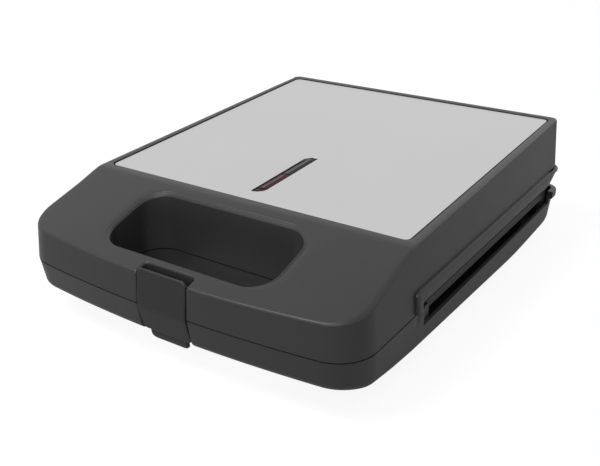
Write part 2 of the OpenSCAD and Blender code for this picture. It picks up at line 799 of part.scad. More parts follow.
module gland_place() {
    translate([0, y_rear, part_z - 20]) rotate([-90, 0, 0]) children();
}

block_z = part_z - base_mid_h + 1;
term_w = half_w / 4;
term_d = 18;
term_h = 8;
term_pitch = term_w / 3.2;
term_x = half_w * 0.4;
term_y = y_rear - 50;

module base_shell() color(black) difference() {
    union() {
        difference() {
            base_skin();
            base_skin(wall, 1);
            // Slots at the sides, and the lower rim at the rear
            box(-body_w, body_w, slot_y, slot_end, part_z - base_notch_h, 2 * part_z);
            box(-body_w, body_w, slot_y, body_d, rear_rim_z, 2 * part_z);
        }
        intersection() {
            base_skin(wall / 2);
            union() {
                hold(wall, 0, part_z);
                box(-latch_x - wall, latch_x + wall, -body_d, base_back + 1.5, 0, part_z);
                frame_screws() cylinder(d = pillar_d, h = meet_z - mount_h);
                cover_screws() cylinder(d = pillar_d, h = part_z - cover_z - cover_t);
                box(term_x - 2, term_x + term_w + 2, term_y - 2, term_y + term_d + 2, 0, block_z);
            }
        }
        rim(rear_rim_drop * tan(base_draft), rear_rim_z - rear_rim_h, rear_rim_z,
            slot_end, body_d);
        base_lugs();
        intersection() {
            foot_places() translate([0, 0, foot_h]) cylinder(d = foot_dia + 4, h = part_z);
            difference() {
                box(-body_w, body_w, -body_d, body_d, 0, part_z);
                base_skin(wall, 1);
            }
        }
        // Catch that the latch snaps over
        box(-latch_x, latch_x, rib_y, base_back + 1, part_z - 12, part_z - 9.5);
    }
    box(-body_w, body_w, -body_d, slot_y + eps, base_z1, 2 * part_z);
    hold(0, -1, 2 * part_z);
    difference() {
        box(-latch_x, latch_x, -body_d, base_back, -1, 2 * part_z);
        box(-latch_x, latch_x, rib_y, base_back + 1, part_z - 12, part_z - 9.5);
    }
    for (s = [-1, 1]) x_rod(pin_r + fit, s * hinge_pitch / 2 - 60, s * hinge_pitch / 2 + 60,
        hinge_y, hinge_z);
    frame_screws() translate([0, 0, meet_z - mount_h - 7])
        cylinder(d = screw_dia + fit, h = 60);
    cover_screws() translate([0, 0, part_z - 15]) cylinder(d = screw_dia + fit, h = 60);
    foot_places() translate([0, 0, -1]) cylinder(d = 8 + fit, h = foot_h + 3);
    gland_place() cylinder(d = gland_bore + 4 + fit, h = 30, center = true);
}

// Rubber foot with a plug that snaps into its stem
module foot() {
    difference() {
        union() {
            translate([0, 0, 1]) cylinder(d = foot_dia, h = foot_h - 1);
            cylinder(d1 = foot_dia - 2, d2 = foot_dia, h = 1);
            cylinder(d = 8, h = foot_h + 2);
        }
        translate([0, 0, -1]) cylinder(d = foot_dia / 3, h = 2);
    }
}

module front_feet() color([0.10, 0.10, 0.10])
    for (s = [-1, 1]) translate([s * foot_x, foot_yf, 0]) foot();
module rear_feet() color([0.10, 0.10, 0.10])
    for (s = [-1, 1]) translate([s * foot_x, foot_yr, 0]) foot();

module terminal_block() color([0.85, 0.84, 0.80]) difference() {
    translate([term_x, term_y, block_z]) cube([term_w, term_d, term_h]);
    for (i = [-1:1]) translate([term_x + term_w / 2 + i * term_pitch, term_y, block_z]) {
        translate([0, -1, 3.5]) rotate([-90, 0, 0]) cylinder(d = 4, h = term_d + 2, $fn = 24);
        for (y = [4, term_d - 4]) translate([0, y, 3]) cylinder(d = 3, h = term_h, $fn = 24);
    }
}

// Bush for the mains cord, clipped into the rear wall
module cord_gland() color([0.10, 0.10, 0.10]) gland_place() {
    w = wall + (20 + gland_bore / 2 + 3) * tan(base_draft) + eps;
    difference() {
        union() {
            translate([0, 0, -w - 2]) cylinder(d = gland_bore + 4, h = w + 2 + gland_out);
            translate([0, 0, 0]) cylinder(d = gland_dia, h = gland_out);
            translate([0, 0, -w - 4]) cylinder(d = gland_bore + 6, h = 4 - 0.1);
        }
        translate([0, 0, -40]) cylinder(d = gland_bore, h = 80);
    }
}

lid_shell();
top_plate();
power_lens();
ready_lens();
lamp_holder();
neon_lamps();
lid_handle_cover();
upper_frame();
upper_cooking_plate();
upper_heater();
upper_reflector();
thermostat();
thermal_fuse();
upper_screws();
latch_pin();
latch();
base_shell();
base_handle_cover();
lower_frame();
lower_cooking_plate();
lower_heater();
lower_reflector();
terminal_block();
cord_gland();
hinge_pins();
front_feet();
rear_feet();
lower_screws();
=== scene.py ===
# %% [markdown]
# # A four-slot sandwich toaster
#
# The toaster is a clamshell: a lid and a base of black moulded plastic, a steel
# cover plate with a lamp window, a latch in front of a hand-hold that goes right
# through, and two non-stick plates inside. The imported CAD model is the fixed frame.
# Every new surface here is worked out with numpy in millimetres, in the frame's own
# axes, and turned into metres when it becomes a mesh.

# %% Load the frame
import bpy
import numpy as np
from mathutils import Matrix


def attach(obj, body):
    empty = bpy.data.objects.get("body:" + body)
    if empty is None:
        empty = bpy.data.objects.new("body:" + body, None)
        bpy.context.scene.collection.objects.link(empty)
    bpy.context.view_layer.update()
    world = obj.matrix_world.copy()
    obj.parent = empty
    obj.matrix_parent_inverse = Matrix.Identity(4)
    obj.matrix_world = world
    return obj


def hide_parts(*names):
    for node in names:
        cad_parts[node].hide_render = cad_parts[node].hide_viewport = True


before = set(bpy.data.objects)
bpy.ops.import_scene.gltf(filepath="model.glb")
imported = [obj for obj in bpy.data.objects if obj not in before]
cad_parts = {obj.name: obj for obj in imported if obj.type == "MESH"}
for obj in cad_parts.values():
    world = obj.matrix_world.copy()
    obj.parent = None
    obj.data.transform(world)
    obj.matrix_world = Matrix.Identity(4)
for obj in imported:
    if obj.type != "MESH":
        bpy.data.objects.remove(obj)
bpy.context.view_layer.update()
MM = 0.001

# %% [markdown]
# ## Sheets, welding and walls
#
# A moulded shell is one sheet of plastic, about 2.5 mm thick, bent through rims and
# corners. In Blender it could be box-modelled, but its edges change radius along the
# way, so each sheet is a grid of points instead: rows in one direction, stations in
# the other. Neighbouring sheets share their border points and are welded there, and
# a copy pushed inwards along the normals then gives the wall its thickness.


# %% Grids of points to faces
def sheet(rows, closed=True, flip=False):
    """A grid of points (rows, stations, 3) as points and four-cornered faces.

    Faces look along (station direction) x (row direction); flip turns them round.
    """
    rows = np.asarray(rows, float)
    k = np.arange(rows.shape[0] * rows.shape[1]).reshape(rows.shape[:2])
    if closed:
        k = np.concatenate([k, k[:, :1]], 1)
    faces = np.stack([k[:-1, :-1], k[:-1, 1:], k[1:, 1:], k[1:, :-1]], -1).reshape(-1, 4)
    return rows.reshape(-1, 3), faces[:, ::-1] if flip else faces


def join(*parts):
    """Several (points, faces) as one."""
    starts = np.cumsum([0] + [len(p) for p, _ in parts[:-1]])
    return (np.concatenate([p for p, _ in parts]),
            np.concatenate([f + s for (_, f), s in zip(parts, starts)]))


def weld(part, step=0.001):
    """Merges points that fall on the same step of a fine lattice, in mm."""
    points, faces = part
    _, first, inverse = np.unique(np.round(points / step), axis=0,
                                  return_index=True, return_inverse=True)
    faces = inverse.reshape(-1)[faces]
    same = faces == np.roll(faces, -1, 1)
    return points[first], faces[same.sum(1) < 2]


def thicken(part, wall):
    """Adds the inner side of a wall: each point moved by -wall along its normal.

    A face adds half the cross product of its diagonals to the normals at its corners.
    Open borders get a strip of faces between the outer and the inner side.
    """
    points, faces = weld(part)
    a, b, c, d = points[faces].transpose(1, 0, 2)
    normal = np.zeros_like(points)
    for i in range(4):
        np.add.at(normal, faces[:, i], np.cross(c - a, d - b) / 2)
    normal /= np.maximum(np.linalg.norm(normal, axis=1, keepdims=True), 1e-9)
    inner = points - wall * normal
    edges = np.stack([faces, np.roll(faces, -1, 1)], -1).reshape(-1, 2)
    edges = edges[edges[:, 0] != edges[:, 1]]
    n = len(points)
    rim = edges[~np.isin(edges @ [n, 1], edges @ [1, n])]
    strip = np.stack([rim[:, 1], rim[:, 0], rim[:, 0] + n, rim[:, 1] + n], -1)
    return np.concatenate([points, inner]), np.concatenate([faces, faces[:, ::-1] + n, strip])


def volume(part):
    """Signed volume in cubic mm: positive where the faces of a closed part look out."""
    points, faces = part
    a, b, c, d = points[faces].transpose(1, 0, 2)
    return ((np.cross(a, b) * c).sum() + (np.cross(a, c) * d).sum()) / 6


def outward(part):
    """The closed part with its faces looking outwards."""
    points, faces = part
    return (points, faces) if volume(part) > 0 else (points, faces[:, ::-1])


print("Faces of a closed grid of 3 by 4 points:", len(sheet(np.zeros((3, 4, 3)))[1]))


# %% Sections carried along a path
def capped(rows, ends):
    """A closed grid of rows (rows, stations, 3) that shrinks to a point at each end."""
    first, last = (np.repeat(end[None, None], rows.shape[1], 1) for end in ends)
    return outward(sheet(np.concatenate([first, rows, last])))


def sweep(path, a, b, section, scale=None):
    """A closed section (stations, 2) carried along a path (rows, 3).

    Row i is path[i] + scale[i] * (section x * a[i] + section y * b[i]); both ends
    shrink to the path's own end point.
    """
    path = np.asarray(path, float)
    scale = np.ones(len(path)) if scale is None else np.asarray(scale, float)
    a, b = (np.broadcast_to(np.asarray(v, float), path.shape) for v in (a, b))
    rows = path[:, None] + scale[:, None, None] * (
        section[None, :, :1] * a[:, None] + section[None, :, 1:] * b[:, None])
    return capped(rows, path[[0, -1]])


square = np.array([[0, 0], [1, 0], [1, 1], [0, 1]])
cube = sweep([(0, 0, 0), (0, 0, 1)], (1, 0, 0), (0, 1, 0), square)
print("A square of 1 mm carried along 1 mm: %.2f cubic mm" % volume(cube))


# %% From parts to objects
def piece(name, part, body, stands_for=(), sharp=35):
    """Turns a part in mm into a smooth-shaded object in metres that rides on a body."""
    points, faces = weld(part)
    # A face with a point that repeats is a triangle; these come after the quads
    shapes = sorted((list(dict.fromkeys(f)) for f in faces.tolist()), key=len, reverse=True)
    mesh = bpy.data.meshes.new(name)
    mesh.from_pydata((points * MM).tolist(), [], shapes)
    mesh.validate()
    mesh.shade_smooth()
    mesh.set_sharp_from_angle(angle=np.radians(sharp))
    made = bpy.data.objects.new(name, mesh)
    bpy.context.scene.collection.objects.link(made)
    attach(made, body)
    if stands_for:
        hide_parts(*stands_for)
    print(name, "faces:", len(mesh.polygons), "volume in ml: %.1f" % (volume(part) / 1000))
    return made


print("Mesh helpers are ready")

# %% [markdown]
# ## The outline
#
# Seen from above, the body is a rectangle with a gently bowed front, wide front
# corners and small rear ones, and a square channel for the latch. Walls lean in by a
# few degrees so that the real part leaves its mould. The outline is therefore a
# function of an inset g, which grows with the height, and the channel's own inset c.

# %% Sizes and heights, in mm
# Body: half width, front, rear, height of the parting line, and half the gap along it
HALF_W, Y_FRONT, Y_REAR, PART_Z, GAP = 135.0, -176.3, 174.7, 44.0, 0.45
CORNER_R, REAR_R, BOW_R = 27.0, 10.0, 940.0
BOW_Y = Y_FRONT + BOW_R
CORNER_X = HALF_W - CORNER_R
CORNER_Y = BOW_Y - np.sqrt((BOW_R - CORNER_R) ** 2 - CORNER_X ** 2)
BOW_A = np.degrees(np.arctan2(CORNER_Y - BOW_Y, CORNER_X))
# Hand-hold and seat of the steel cover: half width, half depth, corner radius, middle
HOLD_X, HOLD_Y, HOLD_R, HOLD_YC = 66.8, 27.6, 17.5, -131.4
COVER_X, COVER_Y, COVER_R, COVER_YC, GROOVE = 124.0, 125.95, 4.5, 38.65, 0.8
SEAT_X, SEAT_Y, SEAT_R = COVER_X + GROOVE, COVER_Y + GROOVE, COVER_R + GROOVE
SPLIT_Y = COVER_YC - SEAT_Y - 0.15
TURN_Y = COVER_YC - SEAT_Y + SEAT_R
# Lid: front edge, deck over the middle of the cover, and the crease between the two
LID_FRONT, DECK_Z, DECK_RISE, NOSE_Y = 21.8, 94.7, np.tan(np.radians(2.3)), -93.85
DRAFT = np.tan(np.radians(5))
NOSE_TOP = DECK_Z + (NOSE_Y - COVER_YC) * DECK_RISE
NOSE_SLOPE = (NOSE_TOP - PART_Z - LID_FRONT) / (NOSE_Y - Y_FRONT - LID_FRONT * DRAFT)
NOSE_R, FLANK_R, DECK_R = 1.6, 3.8, 1.8
# Base: depths below the parting line in front, at the crease, at the lowest and behind
BASE_Y = np.array([Y_FRONT, NOSE_Y, Y_REAR - 90, Y_REAR])
BASE_DEPTH = np.array([21.2, 27.7, 35.0, 31.0])
BASE_LEAN, SIDE_LEAN, REAR_LEAN, BASE_R, BASE_SIDE_R = 10.5, 2.5, 5.0, 6.5, 3.7
# Latch and its channel in lid and base
LATCH_PROUD, LATCH_HALF, LATCH_X, LATCH_T = 0.8, 19.8, 20.3, 3.0
LATCH_Y = Y_FRONT - LATCH_PROUD
LID_BACK, BASE_BACK = Y_FRONT + 11.8, Y_FRONT + 8.9
# Side cut-outs: the raised band's edge, skirt, top and thickness, its front end; the base's
# slot and rear rim; the hinge
EDGE_Z, SKIRT_Z, RIM_TOP, LIP_OUT = PART_Z + 12, PART_Z + 6, PART_Z + 15.5, 2.2
LIP_FRONT, LIP_Y, LIP_BACK = -94.5, -90.2, -86.8
SLOT_Z, SLOT_Y, SLOT_END, REAR_RIM_Z = PART_Z - 14, -81.0, 157.5, PART_Z - 3.5
HINGE_X, HINGE_Y, HINGE_Z, KNUCKLE_R = 80.0, Y_REAR - 4.25, 48.25, 5.5
# Thickness of the moulded walls, and depth of the cover's seat below the deck
WALL, SEAT_DEPTH = 2.3, 1.3


def ramp(t):
    """Smooth step from 0 to 1."""
    t = np.clip(t, 0, 1)
    return t * t * (3 - 2 * t)


def round_edge(r, degrees):
    """Steps round an edge of radius r: inset r (1 - cos a) and depth r (1 - sin a)."""
    return [(r * (1 - np.cos(a)), r * (1 - np.sin(a))) for a in np.radians(degrees)]


def top_z(y, soft=0.9):
    """Height of the lid's top: two planes that meet in a softly rounded crease."""
    bend = soft * np.logaddexp(0, (NOSE_Y - y) / soft)
    return NOSE_TOP + (y - NOSE_Y) * DECK_RISE - (NOSE_SLOPE - DECK_RISE) * bend


def belly_z(y, soft=1.5):
    """Height of the base's underside: it falls from the front, and rises again behind."""
    slopes = -np.diff(BASE_DEPTH) / np.diff(BASE_Y)
    z = PART_Z - BASE_DEPTH[0] + (y - Y_FRONT) * slopes[0]
    for k, width in ((1, soft), (2, 4 * soft)):  # the rear crease is four times as soft
        z = z + (slopes[k] - slopes[k - 1]) * width * np.logaddexp(0, (y - BASE_Y[k]) / width)
    return z


def edge_r(y):
    """Radius of the lid's edge: crisp in front, wide beside the nose, small behind."""
    return (NOSE_R + (FLANK_R - NOSE_R) * ramp((y - Y_FRONT - 4) / 24)
            + (DECK_R - FLANK_R) * ramp((y - NOSE_Y + 25) / 25))


def base_lean(x, y):
    """Slope by which the base leans in: most in front, least at the sides.

    The rear corners lean more, over the last 25 mm and the outer 85 mm.
    """
    turn = ramp((y - Y_FRONT - 5) / CORNER_R)
    corner = REAR_LEAN * ramp((y - 150) / 25) * ramp((x - 50) / 60)
    return np.tan(np.radians(BASE_LEAN + (SIDE_LEAN - BASE_LEAN) * turn + corner))


print("Front corner centre: %.2f, %.2f; bow ends at %.2f degrees" % (CORNER_X, CORNER_Y, BOW_A))

# %% Stations along the outline
flank_y = np.concatenate([
    np.linspace(CORNER_Y, NOSE_Y - 10, 14)[:-1], np.arange(NOSE_Y - 10, LIP_Y - 0.1, 0.75),
    [LIP_Y - 0.03, LIP_Y + 0.03], np.linspace(SPLIT_Y, TURN_Y, 9),
    [SLOT_Y, SLOT_Y + 0.05, -76], np.linspace(-70, 152, 12), [SLOT_END - 0.05, SLOT_END, 161.5]])
rear_x = np.array([HALF_W - REAR_R, 108, 90, 72, 56, 42, 30, 20, 14, 10, 8.5, 7.2, 6, 4.8, 3.6, 2.4,
                   1.2, 0])
# Stretches of the outline: 0 to 3 are the channel's rear, inner corner, side and outer
# corner, 4 is the bowed front, 5 the front corner, and then
BOW, FLANK, REAR_CORNER, REAR = 4, 6, 7, 8
counts = [10, 6, 7, 6, 34, 26, len(flank_y), 12, len(rear_x)]
kind = np.repeat(np.arange(9), counts)
share = np.concatenate([np.arange(n) / n for n in counts[:6]]
                       + [np.zeros(counts[6]), np.arange(1, 12.5) / 13, rear_x / rear_x[0]])
flank = np.zeros(len(kind))
flank[kind == FLANK] = flank_y


def half_plan(g, c, back):
    """Right half of the outline, from the middle of the channel to the middle of the rear.

    Each stretch is a straight line or an arc of radius r about a fixed centre; an inset
    g takes g off the outer radii, and c widens the channel, whose rear wall is at back.
    """
    g, c = (np.broadcast_to(v, kind.shape) for v in (g, c))
    r, side = BOW_R - g, LATCH_X + c
    front = BOW_Y - np.sqrt(r ** 2 - (side + 0.8) ** 2)
    rear = np.maximum(back + c, front + 0.02)
    soft = np.minimum(0.8, (rear - front) / 3)
    inner = np.minimum(2.5 + c, (rear - front) / 2)
    bow0 = np.degrees(np.arcsin((side + soft) / r)) - 90
    a = np.radians(np.choose(kind, [0, 90 * (1 - share), 0, 180 + 90 * share,
                                    bow0 + (BOW_A - bow0) * share, BOW_A * (1 - share),
                                    0, 90 * share, 0]))
    cos, sin = np.cos(a), np.sin(a)
    x = np.choose(kind, [(side - inner) * share, side - inner + inner * cos, side,
                         side + soft + soft * cos, r * cos, CORNER_X + (CORNER_R - g) * cos,
                         HALF_W - g, HALF_W - REAR_R + (REAR_R - g) * cos,
                         (HALF_W - REAR_R) * share])
    y = np.choose(kind, [rear, rear - inner + inner * sin,
                         rear - inner + (front + soft - rear + inner) * share,
                         front + soft + soft * sin, BOW_Y + r * sin,
                         CORNER_Y + (CORNER_R - g) * sin, flank,
                         Y_REAR - REAR_R + (REAR_R - g) * sin, Y_REAR - g])
    return x, y


def carried_over(line):
    """A line on the right, front to rear, carried on by its mirror image on the left."""
    return np.concatenate([line, (line * [-1, 1, 1])[-2::-1]])


def both_sides(x, y, z):
    """Right half and its mirror image as one anticlockwise loop."""
    return carried_over(np.stack([x, y, np.broadcast_to(z, x.shape)], -1))[:-1]


def slide(start, end, steps, surface):
    """Rows that slide from one line (x, y) to another and lie on a surface z(y)."""
    rows = [[a + (b - a) * v for a, b in zip(start, end)] for v in steps]
    return [(x, y, surface(y)) for x, y in rows]


print("Stations on half the outline:", len(kind))

# %% [markdown]
# ## The lid
#
# The lid is one moulding: a drafted wall, an edge whose radius changes along the way,
# a nose that slopes down to the latch, the rolled mouth of the hand-hold and a seat for
# the steel cover. The wall and its edge are one grid of rows that follow the outline;
# rings of rows then join the edge to the mouth in front and to the seat behind.


# %% Rounded rectangle by centre and angle
def rounded(q, half_x, half_y, r, grow=0.0):
    """Half a rounded rectangle: (r + grow) * (cos, sin) about a centre that slides.

    q runs from 0 at the front middle to 1 at the rear middle; the corners lie
    between 0.25 and 0.4 and between 0.6 and 0.75. grow moves the whole line outwards.
    """
    at = [0, 0.25, 0.4, 0.6, 0.75, 1]
    cx = np.interp(q, at, np.array([0, 1, 1, 1, 1, 0]) * (half_x - r))
    cy = np.interp(q, at, np.array([-1, -1, -1, 1, 1, 1]) * (half_y - r))
    a = np.radians(np.interp(q, at, [-90, -90, 0, 0, 90, 90]))
    return cx + (r + grow) * np.cos(a), cy + (r + grow) * np.sin(a)


# Places on the mouth that face the stretches of the outline in front of the plate: the
# channel's rows fan out over a little more than the channel's width
q_mouth = np.zeros(len(kind))
q_limits = [0, 0.091, 0.118, 0.132, 0.137, 0.25, 0.4]
for number, (q0, q1) in enumerate(zip(q_limits, q_limits[1:])):
    q_mouth[kind == number] = (q0 + (q1 - q0) * share)[kind == number]
front_flank = (kind == FLANK) & (flank <= SPLIT_Y)
q_mouth[front_flank] = np.interp(flank[front_flank], [CORNER_Y, SPLIT_Y], [0.4, 0.675])
in_front = (kind < FLANK) | front_flank
behind = ~in_front | (flank == SPLIT_Y)
print("Stations in front of the plate's corner:", in_front.sum(), "and behind:", behind.sum())

# %% Lid wall and edge
_, foot_y = half_plan(0, 0, LID_BACK)
radius = edge_r(foot_y)
radius[kind < BOW] = NOSE_R
# The wall starts at the parting line in front and behind the band further back
full_height = (kind < FLANK) | ((kind == FLANK) & (flank < LIP_Y))
low_z = np.where(full_height, PART_Z + GAP, EDGE_Z + 1.5)
# The draft grows by a tenth towards the rear corner and is halved at the rear
draft_share = np.select([kind == REAR_CORNER, kind == REAR], [1.1 - 0.6 * share, 0.5],
                        1 + 0.1 * ramp((foot_y - 120) / 40))
wall_g = (top_z(foot_y) - radius - PART_Z) * DRAFT * draft_share


def lid_row(t, turn):
    """One row of the right half: t climbs the wall from 0 to 1, turn is the edge's angle.

    On the wall the inset is height * tan(draft); round the edge it grows by
    r (1 - cos turn), and the height falls short of the top by r (1 - sin turn).
    """
    bend = radius * (1 - np.cos(turn))
    g_low = (low_z - PART_Z) * DRAFT
    x, y = half_plan(g_low + (wall_g - g_low) * t + bend, bend, LID_BACK)
    high = top_z(y) - radius * (1 - np.sin(turn))
    return x, y, low_z + (high - low_z) * t


edge_turns = np.radians([0, 8, 18, 29, 40, 51, 62, 72, 82, 90])
lid_rows = [lid_row(t, 0.0) for t in np.linspace(0, 1, 8)[:-1]]
lid_rows += [lid_row(1.0, a) for a in edge_turns]
lid_side = sheet([both_sides(*row) for row in lid_rows])
edge_x, edge_y, edge_z = lid_rows[-1]
print("Top edge beside the cover at x = %.2f" % edge_x[kind == FLANK][-1])

# %% Ring round the hand-hold, rolled mouth and inner wall
# The seat's straight front line, from its corner to the middle
q_front = np.linspace(0.25, 0, 30)
q_ahead = np.concatenate([q_mouth[in_front], np.linspace(0.7, 1, 30)])
# Width of the mouth's chamfered lip, depth of the soft groove round it, and the lip's
# section as (outside the wall, below the top)
LIP, LIP_GROOVE = 1.5, 0.5
LIP_SECTION = [(1.42, 0.01), (1.3, 0.06), (1.15, 0.2), (0.75, 0.65), (0.35, 1.1), (0.15, 1.35),
               (0.03, 1.65), (0, 2.0)]


def round_to_rear(q):
    """0 along the mouth's front edge, 1 from its front corners backwards."""
    return ramp((q - 0.25) / 0.15)


def mouth_row(q, out, depth, surface=top_z):
    """A row round the hand-hold, out mm outside its inner wall and depth below a surface."""
    x, y = rounded(q, HOLD_X, HOLD_Y, HOLD_R, out)
    return x, y + HOLD_YC, surface(y + HOLD_YC) - depth


seat_x, seat_y = rounded(q_front, SEAT_X, SEAT_Y, SEAT_R, 0.15)
ahead_x = np.concatenate([edge_x[in_front], seat_x])
ahead_y = np.concatenate([edge_y[in_front], seat_y + COVER_YC])
room = 0.6 + 1.6 * round_to_rear(q_ahead)
ring_rows = slide((ahead_x, ahead_y), mouth_row(q_ahead, LIP + room, 0),
                  np.linspace(0, 1, 13), top_z)
for v in np.linspace(0, 1, 8)[1:]:
    dip = LIP_GROOVE * round_to_rear(q_ahead) * np.sin(np.pi * v) ** 2
    ring_rows.append(mouth_row(q_ahead, LIP + room * (1 - v), dip))
ring_rows += [mouth_row(q_ahead, out, depth) for out, depth in LIP_SECTION]
x, y, wall_top = ring_rows[-1]
ring_rows += [(x, y, wall_top + (PART_Z + GAP - wall_top) * v) for v in (0.33, 0.67, 1.0)]
lid_ring = sheet([both_sides(*row) for row in ring_rows])
print("Rows from the edge down to the parting line:", len(ring_rows))

# %% Seat of the steel cover
q_behind = np.interp(edge_y[behind & (kind == FLANK)],
                     [SPLIT_Y, TURN_Y, COVER_YC + SEAT_Y - SEAT_R], [0.25, 0.4, 0.6])
q_behind = np.concatenate([q_behind, 0.6 + 0.15 * share[kind == REAR_CORNER],
                           0.75 + 0.25 * (1 - share[kind == REAR])])
q_seat = np.concatenate([q_front[:0:-1], q_behind])


def seat_row(q, out, depth):
    """A row round the seat, depth below the tilted deck."""
    x, y = rounded(q, SEAT_X, SEAT_Y, SEAT_R, out)
    return x, y + COVER_YC, top_z(y + COVER_YC) - depth


border = [v[behind] for v in (edge_x, edge_y, edge_z)], seat_row(q_behind, 0.15, 0)
lid_border = sheet([carried_over(np.stack(row, -1)) for row in border], closed=False)
# The slanted window: its slope, width, length, corner radius and middle
SLANT, LENS_W, LENS_L, LENS_R = 0.57, 9.0, 71.0, 3.2
LENS_Y = COVER_YC - COVER_Y + 14.3 + LENS_L / 2
# The hole under it is a plain rectangle, wide enough for the slanted one above
lamp_x, lamp_y = rounded(q_seat, 8, LENS_L / 2 + 4, 3)
lamp_y = lamp_y + LENS_Y
lamp_hole = both_sides(lamp_x, lamp_y, top_z(lamp_y) - SEAT_DEPTH)
seat_rows = [both_sides(*seat_row(q_seat, out, depth)) for out, depth in
             [(0.15, 0), (0.04, 0.04), (0, 0.15), (0, SEAT_DEPTH)]]
seat_rows += [seat_rows[-1] * (1 - v) + lamp_hole * v for v in (0.5, 1)]
lid_seat = sheet(seat_rows)
print("Seat stations:", len(seat_rows[0]))

# %% [markdown]
# ## The lid's rim, band and knuckles
#
# Along its rear and sides the lid's edge is raised and stiffened by a rim, which widens
# at the sides into a band that turns down to the parting line. These are ribs with a
# small section and a long path, so each is a section carried along the outline. Round
# knuckles behind hang the lid on its two pins.

# %% Rim, band and walls of the lid
def rounded_section(w0, w1, h, r, n=5):
    """Section of a rim from w0 to w1 across the wall and h high, outer corners radius r."""
    a = np.linspace(0, np.pi / 2, n)
    outer = np.stack([w1 - r + r * np.cos(a), h / 2 - r + r * np.sin(a)], -1)
    lower = (outer * [1, -1])[::-1]
    return np.concatenate([lower, outer, [[w0, h / 2], [w0, -h / 2]]])


def rim_part(line, z, inset, section):
    """A rim along the outline: the section's x axis is the wall's outward normal."""
    x, y = (v[line] for v in half_plan(inset, 0, LID_BACK))
    path = np.stack([x, y, np.full_like(x, z)], -1)
    step = np.gradient(path, axis=0)
    out = np.stack([step[:, 1], -step[:, 0], 0 * x], -1)
    out /= np.linalg.norm(out, axis=1, keepdims=True)
    return sweep(carried_over(path), carried_over(out), (0, 0, 1), section)


BAND_R, BAND_EDGE, BAND_FADE = 3.5, 1.2, 16.0


def side_band(side):
    """The raised band on one side: it climbs from the parting line, turns and runs back.

    Each station is a line from the inner edge of the band to its outer edge, in the plane
    of the wall; across it the surface stands LIP_OUT proud, with rounded edges. The outer
    line turns by radius BAND_R, and the inner one climbs over the last BAND_FADE mm.
    """
    y_end = Y_REAR - REAR_R - 3
    a = np.radians(np.linspace(0, 90, 9))
    outer = np.concatenate([[[LIP_FRONT, PART_Z + GAP], [LIP_FRONT, PART_Z + 8]],
                            np.stack([LIP_FRONT + BAND_R * (1 - np.cos(a)),
                                      RIM_TOP - BAND_R * (1 - np.sin(a))], -1),
                            [[LIP_BACK, RIM_TOP], [y_end - BAND_FADE, RIM_TOP], [y_end, RIM_TOP]]])
    inner = np.array([[LIP_BACK, PART_Z + GAP], [LIP_BACK, SKIRT_Z - 1]] + [[LIP_BACK, SKIRT_Z]] * 9
                     + [[LIP_BACK + 0.5, SKIRT_Z], [y_end - BAND_FADE, SKIRT_Z],
                        [y_end, EDGE_Z + 0.3]])
    wide = np.linalg.norm(outer - inner, axis=1)
    rows = []
    near = [(0, -1.5), (0, LIP_OUT - BAND_EDGE), (0.35, LIP_OUT - 0.35), (BAND_EDGE, LIP_OUT)]
    across = [(0, edge, w) for edge, w in near] + [(1, -edge, w) for edge, w in near[::-1]]
    for start, edge, w in across:
        line = inner + (outer - inner) * (start + edge / wide)[:, None]
        x = HALF_W - (line[:, 1] - PART_Z) * DRAFT + w
        rows.append(np.stack([side * x, line[:, 0], line[:, 1]], -1))
    grid = np.stack(rows, 1)
    return capped(grid, grid[[0, -1]].mean(1))


def collar(z):
    """A flat collar behind the hand-hold's wall, which closes its joint with the grip's cover.

    The mouth's line, carried outwards by 1.9 to 7.5 mm along its normal, and 1 mm thick.
    """
    q = np.linspace(0.45, 1, 40)
    wall, beyond = [np.stack([*rounded(q, HOLD_X, HOLD_Y, HOLD_R, g), 0 * q], -1) for g in (0, 1)]
    return sweep(carried_over(wall + [0, HOLD_YC, z]), carried_over(beyond - wall), (0, 0, 1),
                 np.array([[1.9, -0.5], [7.5, -0.5], [7.5, 0.5], [1.9, 0.5]]))


def inner_walls(x, y0, y1, z0, z1):
    """Two flat walls 1.2 mm thick behind the side slots, their outer edges rounded."""
    section = rounded_section(-0.6, 0.6, z1 - z0, 0.3)
    return [sweep([(at, y, (z0 + z1) / 2) for y in (y0, y1)], (1, 0, 0), (0, 0, 1), section)
            for at in (-x, x)]


# Walls behind the side slot, and how far the collars lie from the parting line
CLOSING_X, COLLAR_OFF = 131.1, 4.7
lid_line = (kind > FLANK) | ((kind == FLANK) & (flank >= 150))
rim_z = (EDGE_Z + RIM_TOP) / 2
lid_walls = inner_walls(CLOSING_X, LIP_Y - 1.5, LIP_Y + 23.5, PART_Z + GAP, PART_Z + 18)
lid_rim = join(rim_part(lid_line, rim_z, (rim_z - PART_Z) * DRAFT,
                        rounded_section(-2.0, LIP_OUT, RIM_TOP - EDGE_Z, BAND_EDGE)),
               side_band(1), side_band(-1), *lid_walls, collar(PART_Z + COLLAR_OFF))
print("Rim and bands of the lid: %.1f ml" % (volume(lid_rim) / 1000))

# %% Hinge knuckles
def knuckle(x0, x1, z_end):
    """A round knuckle with a straight neck, carried along x, its ends chamfered 0.6 mm."""
    up = np.sign(z_end - HINGE_Z)
    a = np.radians(np.linspace(68.7, -180, 23)) * up
    arc = np.stack([KNUCKLE_R * np.cos(a), KNUCKLE_R * np.sin(a)], -1)
    neck = np.array([[-KNUCKLE_R, z_end - HINGE_Z], [2.0, z_end - HINGE_Z]])
    section = np.concatenate([arc, neck])
    path = np.stack([[x0, x0 + 0.6, x1 - 0.6, x1], np.full(4, HINGE_Y), np.full(4, HINGE_Z)], -1)
    return sweep(path, (0, 1, 0), (0, 0, 1), section, [0.88, 1, 1, 0.88])


